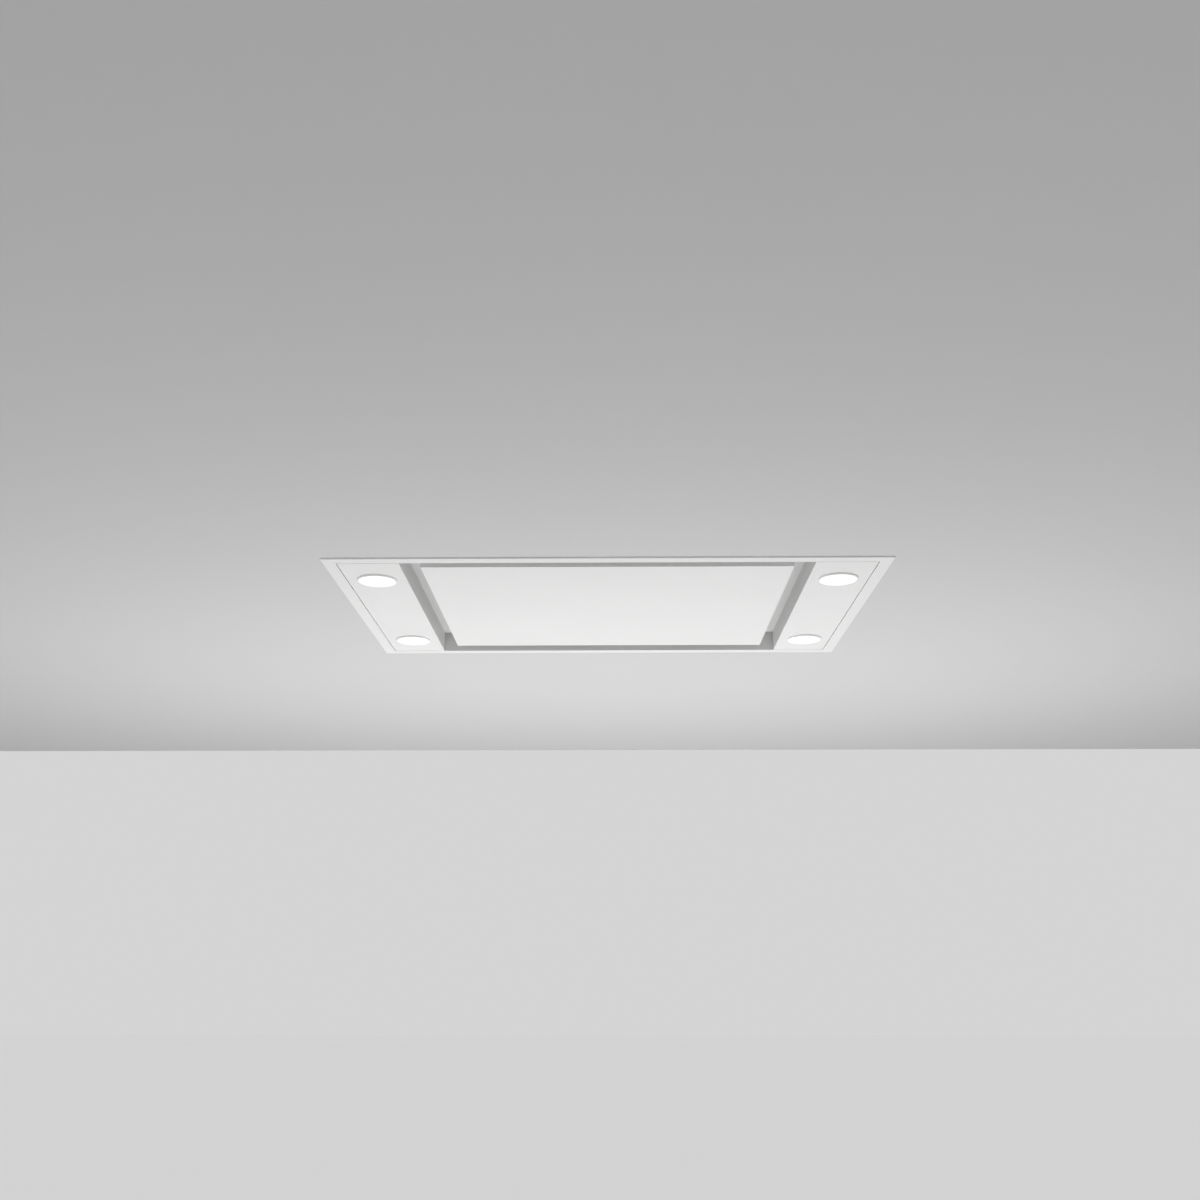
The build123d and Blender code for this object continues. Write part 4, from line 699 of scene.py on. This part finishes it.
def screw_mesh(builder, top, direction, full, sizes):
    """One pan-head screw with a cross recess and rolled threads. Its head's outside is at top."""
    head_r, head_h, shank_r = sizes.screw_head, sizes.screw_head_height, sizes.screw_shank
    turns = [2 * math.pi * n / sizes.ring_segments for n in range(sizes.ring_segments)]
    outline = [recess_radius(turn, sizes.recess_reach) for turn in turns]
    loops = []

    def loop(radii, height):
        """A loop of vertices round the screw's axis, one for each turn."""
        spots = [(r * math.cos(t), r * math.sin(t), height) for r, t in zip(radii, turns)]
        loops.append([builder.verts.new(spot) for spot in spots])
        return loops[-1]

    def ring(radius, height):
        return loop([radius] * len(turns), height)

    floor = loop([r * RECESS_FLOOR for r in outline], head_h * RECESS_DEPTH)
    lip = loop(outline, RECESS_EDGE)
    builder.faces.new(list(reversed(floor)))
    bridge(builder, lip, floor)
    falls = [1.0 - math.sqrt(max(0.0, 1.0 - share**4)) for share in DOME_RINGS]
    rings = [(head_r * share, head_h * DOME_DROP * fall) for share, fall in zip(DOME_RINGS, falls)]
    rings += [(head_r, head_h), (shank_r, head_h)]
    height = head_h
    while height + sizes.thread_pitch < full - PLAIN_TIP:
        for share, step in THREAD_STEPS:
            rings.append((shank_r * share, height + sizes.thread_pitch * step))
        height += sizes.thread_pitch
    rings.append((shank_r * TIP_RADIUS, full))
    previous = lip
    for radius, height in rings:
        current = ring(radius, height)
        bridge(builder, current, previous)
        previous = current
    builder.faces.new(previous)
    aim = Vector((0.0, 0.0, 1.0)).rotation_difference(direction).to_matrix().to_4x4()
    seat = Matrix.Translation(top) @ aim
    bmesh.ops.transform(builder, matrix=seat, verts=[vert for made in loops for vert in made])


class HOOD_OT_screws(bpy.types.Operator):
    """Builds the pan-head screws, each where the model has a plain one"""

    bl_idname = "hood.screws"
    bl_label = "Screws"

    def execute(self, context):
        colours, sizes, _ = settings(context)
        builder = bmesh.new()
        for points in islands(NODES["screws"].data):
            screw_mesh(builder, *screw_axis(points), sizes)
        bmesh.ops.recalc_face_normals(builder, faces=builder.faces)
        zinc = zinc_plate(colours).material
        piece = new_piece("pan_head_screws", builder, zinc, "hood")
        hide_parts("screws")
        return {"FINISHED"}


FLANK_STEPS = 2  # columns of mesh on one side of a pleat


def pleated_mesh(builder, low, high, sizes, layer):
    """One layer of diamonds that follows a filter's pleats, between the box's two corners.

    The diamonds of an odd layer lie over the strands of an even one.
    """
    flanks = int((high.x - low.x) / sizes.pleat_pitch + TINY) * 2
    columns = flanks * FLANK_STEPS
    rows = 2 * round((high.y - low.y) / sizes.mesh_step / 2)
    lift = layer * sizes.layer_step
    bottom = low.z + sizes.strand / 2 + lift
    top = high.z - sizes.strand / 2 - (sizes.mesh_layers - 1) * sizes.layer_step + lift
    verts = {}
    for i in range(columns + 1):
        flank, part = divmod(i, FLANK_STEPS)
        share = part / FLANK_STEPS
        rise = share if flank % 2 == 0 else 1.0 - share
        for j in range(rows + 1):
            if (i + j + layer) % 2 == 0:
                x = low.x + (high.x - low.x) * i / columns
                y = low.y + (high.y - low.y) * j / rows
                verts[i, j] = builder.verts.new((x, y, bottom + (top - bottom) * rise))
    for i in range(1, columns):
        for j in range(1, rows):
            if (i + j + layer) % 2 == 1:
                corners = ((i - 1, j), (i, j - 1), (i + 1, j), (i, j + 1))
                builder.faces.new([verts[corner] for corner in corners])


class HOOD_OT_filters(bpy.types.Operator):
    """Builds the stretched mesh of both grease filters, and finishes every aluminium piece"""

    bl_idname = "hood.filters"
    bl_label = "Grease Filters"

    def execute(self, context):
        colours, sizes, _ = settings(context)
        brushed_aluminium(colours).coat(*in_slot("aluminium"))
        finish = mesh_aluminium(colours)
        for side in ("left", "right"):
            node = f"filter_mesh_{side}"
            builder = bmesh.new()
            for layer in range(sizes.mesh_layers):
                pleated_mesh(builder, *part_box(node), sizes, layer)
            loose = [v for v in builder.verts if not v.link_faces]
            bmesh.ops.delete(builder, geom=loose, context="VERTS")
            name = f"stretched_mesh_{side}"
            piece = new_piece(name, builder, finish.material, "hood")
            strands = piece.modifiers.new("strands", "WIREFRAME")
            strands.thickness = sizes.strand
            strands.use_even_offset = False
            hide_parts(node)
        return {"FINISHED"}


class HOOD_OT_motor(bpy.types.Operator):
    """Finishes the motor, its windings and its rubber buffers"""

    bl_idname = "hood.motor"
    bl_label = "Motor"

    def execute(self, context):
        colours, sizes, _ = settings(context)
        motor_paint(colours).coat("motor_case", "motor_cap")
        winding(colours, sizes).coat("motor_stator")
        rubber(colours).coat("blower_buffers")
        return {"FINISHED"}


MOULDING_ROUGHNESS = {"black_plastic": 0.48, "grey_plastic": 0.5, "white_plastic": 0.4}


class HOOD_OT_plastics(bpy.types.Operator):
    """Finishes the moulded pieces: duct collar, flaps, latches, switch and boxes"""

    bl_idname = "hood.plastics"
    bl_label = "Moulded Pieces"

    def execute(self, context):
        colours, _, _ = settings(context)
        for slot, roughness in MOULDING_ROUGHNESS.items():
            name = slot.replace("plastic", "moulding")
            moulded_plastic(name, getattr(colours, slot), roughness).coat(*in_slot(slot))
        return {"FINISHED"}


class HOOD_OT_electrics(bpy.types.Operator):
    """Finishes the control board and the leads"""

    bl_idname = "hood.electrics"
    bl_label = "Electrics"

    def execute(self, context):
        colours, sizes, _ = settings(context)
        jacket = moulded_plastic("lead_jacket", colours.lead_jacket, roughness=0.34, grain=0.0015)
        jacket.coat("internal_leads")
        circuit_board(colours, sizes).coat("control_board")
        return {"FINISHED"}


# ---------------------------------------------------------------- stage
FILM_WIDTH = 36.0  # of the camera, in millimetres
WHITE = (1.0, 1.0, 1.0, 1.0)


def flat_board(name, half, near, far, height, hole=None):
    """A flat board facing up, from near to far along Y. It may have a rectangular hole."""
    builder = bmesh.new()
    corners = ((-1, -1), (1, -1), (1, 1), (-1, 1))
    outer = [builder.verts.new((x * half, far if y > 0 else near, height)) for x, y in corners]
    if hole is None:
        builder.faces.new(outer)
    else:
        inner = [builder.verts.new((x * hole[0], y * hole[1], height)) for x, y in corners]
        bridge(builder, outer, inner)
    return new_mesh(name, builder)


def ceiling_paint(colours):
    """Rolled matt ceiling paint on the lower face. The upper face lets the view through."""
    finish = Finish("ceiling_paint", colours.ceiling, roughness=0.55)
    finish.set("Base Color", finish.shaded(finish.noise(width=0.5), darkest=-0.012, palest=0.012))
    finish.roughness_from(finish.noise(width=0.003), smoothest=0.48, roughest=0.6)
    finish.relief(finish.noise(width=0.003), depth=0.00004, strength=0.2)
    finish.set("Specular IOR Level", 0.2)
    clear = finish.add("ShaderNodeBsdfTransparent")
    upper = finish.add("ShaderNodeNewGeometry").outputs["Backfacing"]
    choice = finish.add("ShaderNodeMixShader")
    shaders = (upper, finish.shader.outputs["BSDF"], clear.outputs["BSDF"])
    for socket, source in zip(choice.inputs, shaders):
        finish.feed(socket, source)
    finish.feed(finish.output.inputs["Surface"], choice.outputs["Shader"])
    return finish


def seen_rays(tree):
    """One for rays of the camera, of reflections and through glass, and zero for the rest."""
    path = tree.nodes.new("ShaderNodeLightPath")
    last = path.outputs["Is Camera Ray"]
    for name in ("Is Glossy Ray", "Is Transmission Ray"):
        either = tree.nodes.new("ShaderNodeMath")
        either.operation = "MAXIMUM"
        tree.links.new(last, either.inputs[0])
        tree.links.new(path.outputs[name], either.inputs[1])
        last = either.outputs["Value"]
    return last


def floor_paint(colours, glow):
    """Pale matt floor. The camera, metal and glass see it as bright as the backdrop."""
    finish = Finish("pale_floor", colours.backdrop, roughness=0.9)
    finish.set("Base Color", finish.shaded(finish.noise(width=1.2), darkest=-0.01, palest=0.01))
    finish.set("Specular IOR Level", 0.1)
    finish.glow_from(finish.math("MULTIPLY", seen_rays(finish.tree), glow), colours.backdrop)
    return finish


def soft_light(name, power, size, place, target, in_reflections=True):
    """A rectangular soft light at a place, facing a target, with or without its reflections."""
    data = bpy.data.lights.new(name, "AREA")
    data.shape = "RECTANGLE"
    data.size, data.size_y = size
    data.energy = power
    light = new_object(name, data)
    light.location = place
    light.rotation_mode = "QUATERNION"
    light.rotation_quaternion = (Vector(target) - Vector(place)).to_track_quat("-Z", "Y")
    light.visible_camera = False
    light.visible_glossy = in_reflections


def room_world(colours, strength):
    """Even light from all round, behind a pale backdrop."""
    world = bpy.data.worlds.get("room") or bpy.data.worlds.new("room")
    world.use_nodes = True
    tree = world.node_tree
    tree.nodes.clear()
    output = tree.nodes.new("ShaderNodeOutputWorld")
    lighting = tree.nodes.new("ShaderNodeBackground")
    lighting.inputs["Strength"].default_value = strength
    lighting.inputs["Color"].default_value = WHITE
    backdrop = tree.nodes.new("ShaderNodeBackground")
    backdrop.inputs["Color"].default_value = (*colours.backdrop, 1.0)
    choice = tree.nodes.new("ShaderNodeMixShader")
    shaders = (seen_rays(tree), lighting.outputs["Background"], backdrop.outputs["Background"])
    for socket, source in zip(choice.inputs, shaders):
        tree.links.new(source, socket)
    tree.links.new(choice.outputs["Shader"], output.inputs["Surface"])
    bpy.context.scene.world = world


class HOOD_OT_stage(bpy.types.Operator):
    """Sets the camera, the soft lights, the ceiling and the floor"""

    bl_idname = "hood.stage"
    bl_label = "Stage"

    def execute(self, context):
        colours, _, stage = settings(context)
        self.camera(context.scene, stage)
        self.boards(colours, stage)
        self.lights(stage)
        room_world(colours, stage.room_light)
        context.scene.view_settings.view_transform = "Standard"
        return {"FINISHED"}

    def camera(self, scene, stage):
        """Stands at the photograph's viewpoint."""
        data = bpy.data.cameras.new("view")
        data.lens = stage.focal_length
        data.sensor_width = FILM_WIDTH
        camera = new_object("view", data)
        camera.location = stage.camera_place
        camera.rotation_euler = (math.pi / 2 + stage.camera_pitch, 0.0, stage.camera_yaw)
        scene.camera = camera

    def boards(self, colours, stage):
        """The ceiling with its cut-out, and the floor."""
        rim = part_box("rim_frame")[1]
        hole = (rim.x - stage.cutout_margin, rim.y - stage.cutout_margin)
        ceiling = flat_board(
            "ceiling_board",
            half=stage.ceiling_half,
            near=-stage.ceiling_near,
            far=stage.ceiling_far,
            height=stage.ceiling_lift,
            hole=hole,
        )
        ceiling.data.flip_normals()
        paint(ceiling, ceiling_paint(colours).material)
        floor = flat_board(
            "floor",
            half=stage.floor_half,
            near=-stage.floor_half,
            far=stage.floor_half,
            height=-stage.floor_depth,
        )
        paint(floor, floor_paint(colours, stage.floor_glow).material)

    def lights(self, stage):
        """Soft lights below, beside and above the hood."""
        soft_light(
            "main_light",
            stage.main_power,
            size=(2.4, 0.6),
            place=(0.0, 0.5, -1.5),
            target=(0.0, 0.5, 0.0),
            in_reflections=False,
        )
        soft_light(
            "bounce_light",
            stage.bounce_power,
            size=(5.0, 5.0),
            place=(0.0, 0.8, -2.2),
            target=(0.0, 0.8, 0.0),
        )
        soft_light(
            "fill_light",
            stage.fill_power,
            size=(2.4, 1.2),
            place=(0.0, -3.2, -1.4),
            target=(0.0, 0.0, 0.0),
        )
        soft_light(
            "top_light",
            stage.top_power,
            size=(2.4, 2.4),
            place=(-1.2, 0.9, 2.6),
            target=(0.0, 0.0, 0.1),
        )


# ---------------------------------------------------------------- the add-on
class HOOD_PT_panel(bpy.types.Panel):
    """Lists the hood's settings and operators"""

    bl_idname = "HOOD_PT_panel"
    bl_label = "Ceiling Hood"
    bl_space_type = "VIEW_3D"
    bl_region_type = "UI"
    bl_category = "Hood"

    def draw(self, context):
        for operator in OPERATORS:
            self.layout.operator(operator.bl_idname)
        for group in settings(context):
            box = self.layout.box()
            for name in group.__annotations__:
                box.prop(group, name)


OPERATORS = (
    HOOD_OT_white_panels,
    HOOD_OT_lamps,
    HOOD_OT_sheet_metal,
    HOOD_OT_hardware,
    HOOD_OT_screws,
    HOOD_OT_filters,
    HOOD_OT_motor,
    HOOD_OT_plastics,
    HOOD_OT_electrics,
    HOOD_OT_stage,
)
GROUPS = (("hood_colours", HoodColours), ("hood_sizes", HoodSizes), ("hood_stage", HoodStage))


def register():
    for name, group in GROUPS:
        bpy.utils.register_class(group)
        setattr(bpy.types.Scene, name, PointerProperty(type=group))
    for made in (*OPERATORS, HOOD_PT_panel):
        bpy.utils.register_class(made)


def unregister():
    for made in (HOOD_PT_panel, *reversed(OPERATORS)):
        bpy.utils.unregister_class(made)
    for name, group in reversed(GROUPS):
        delattr(bpy.types.Scene, name)
        bpy.utils.unregister_class(group)


def main():
    register()
    for operator in OPERATORS:
        family, action = operator.bl_idname.split(".")
        getattr(getattr(bpy.ops, family), action)()


if __name__ == "__main__":
    main()
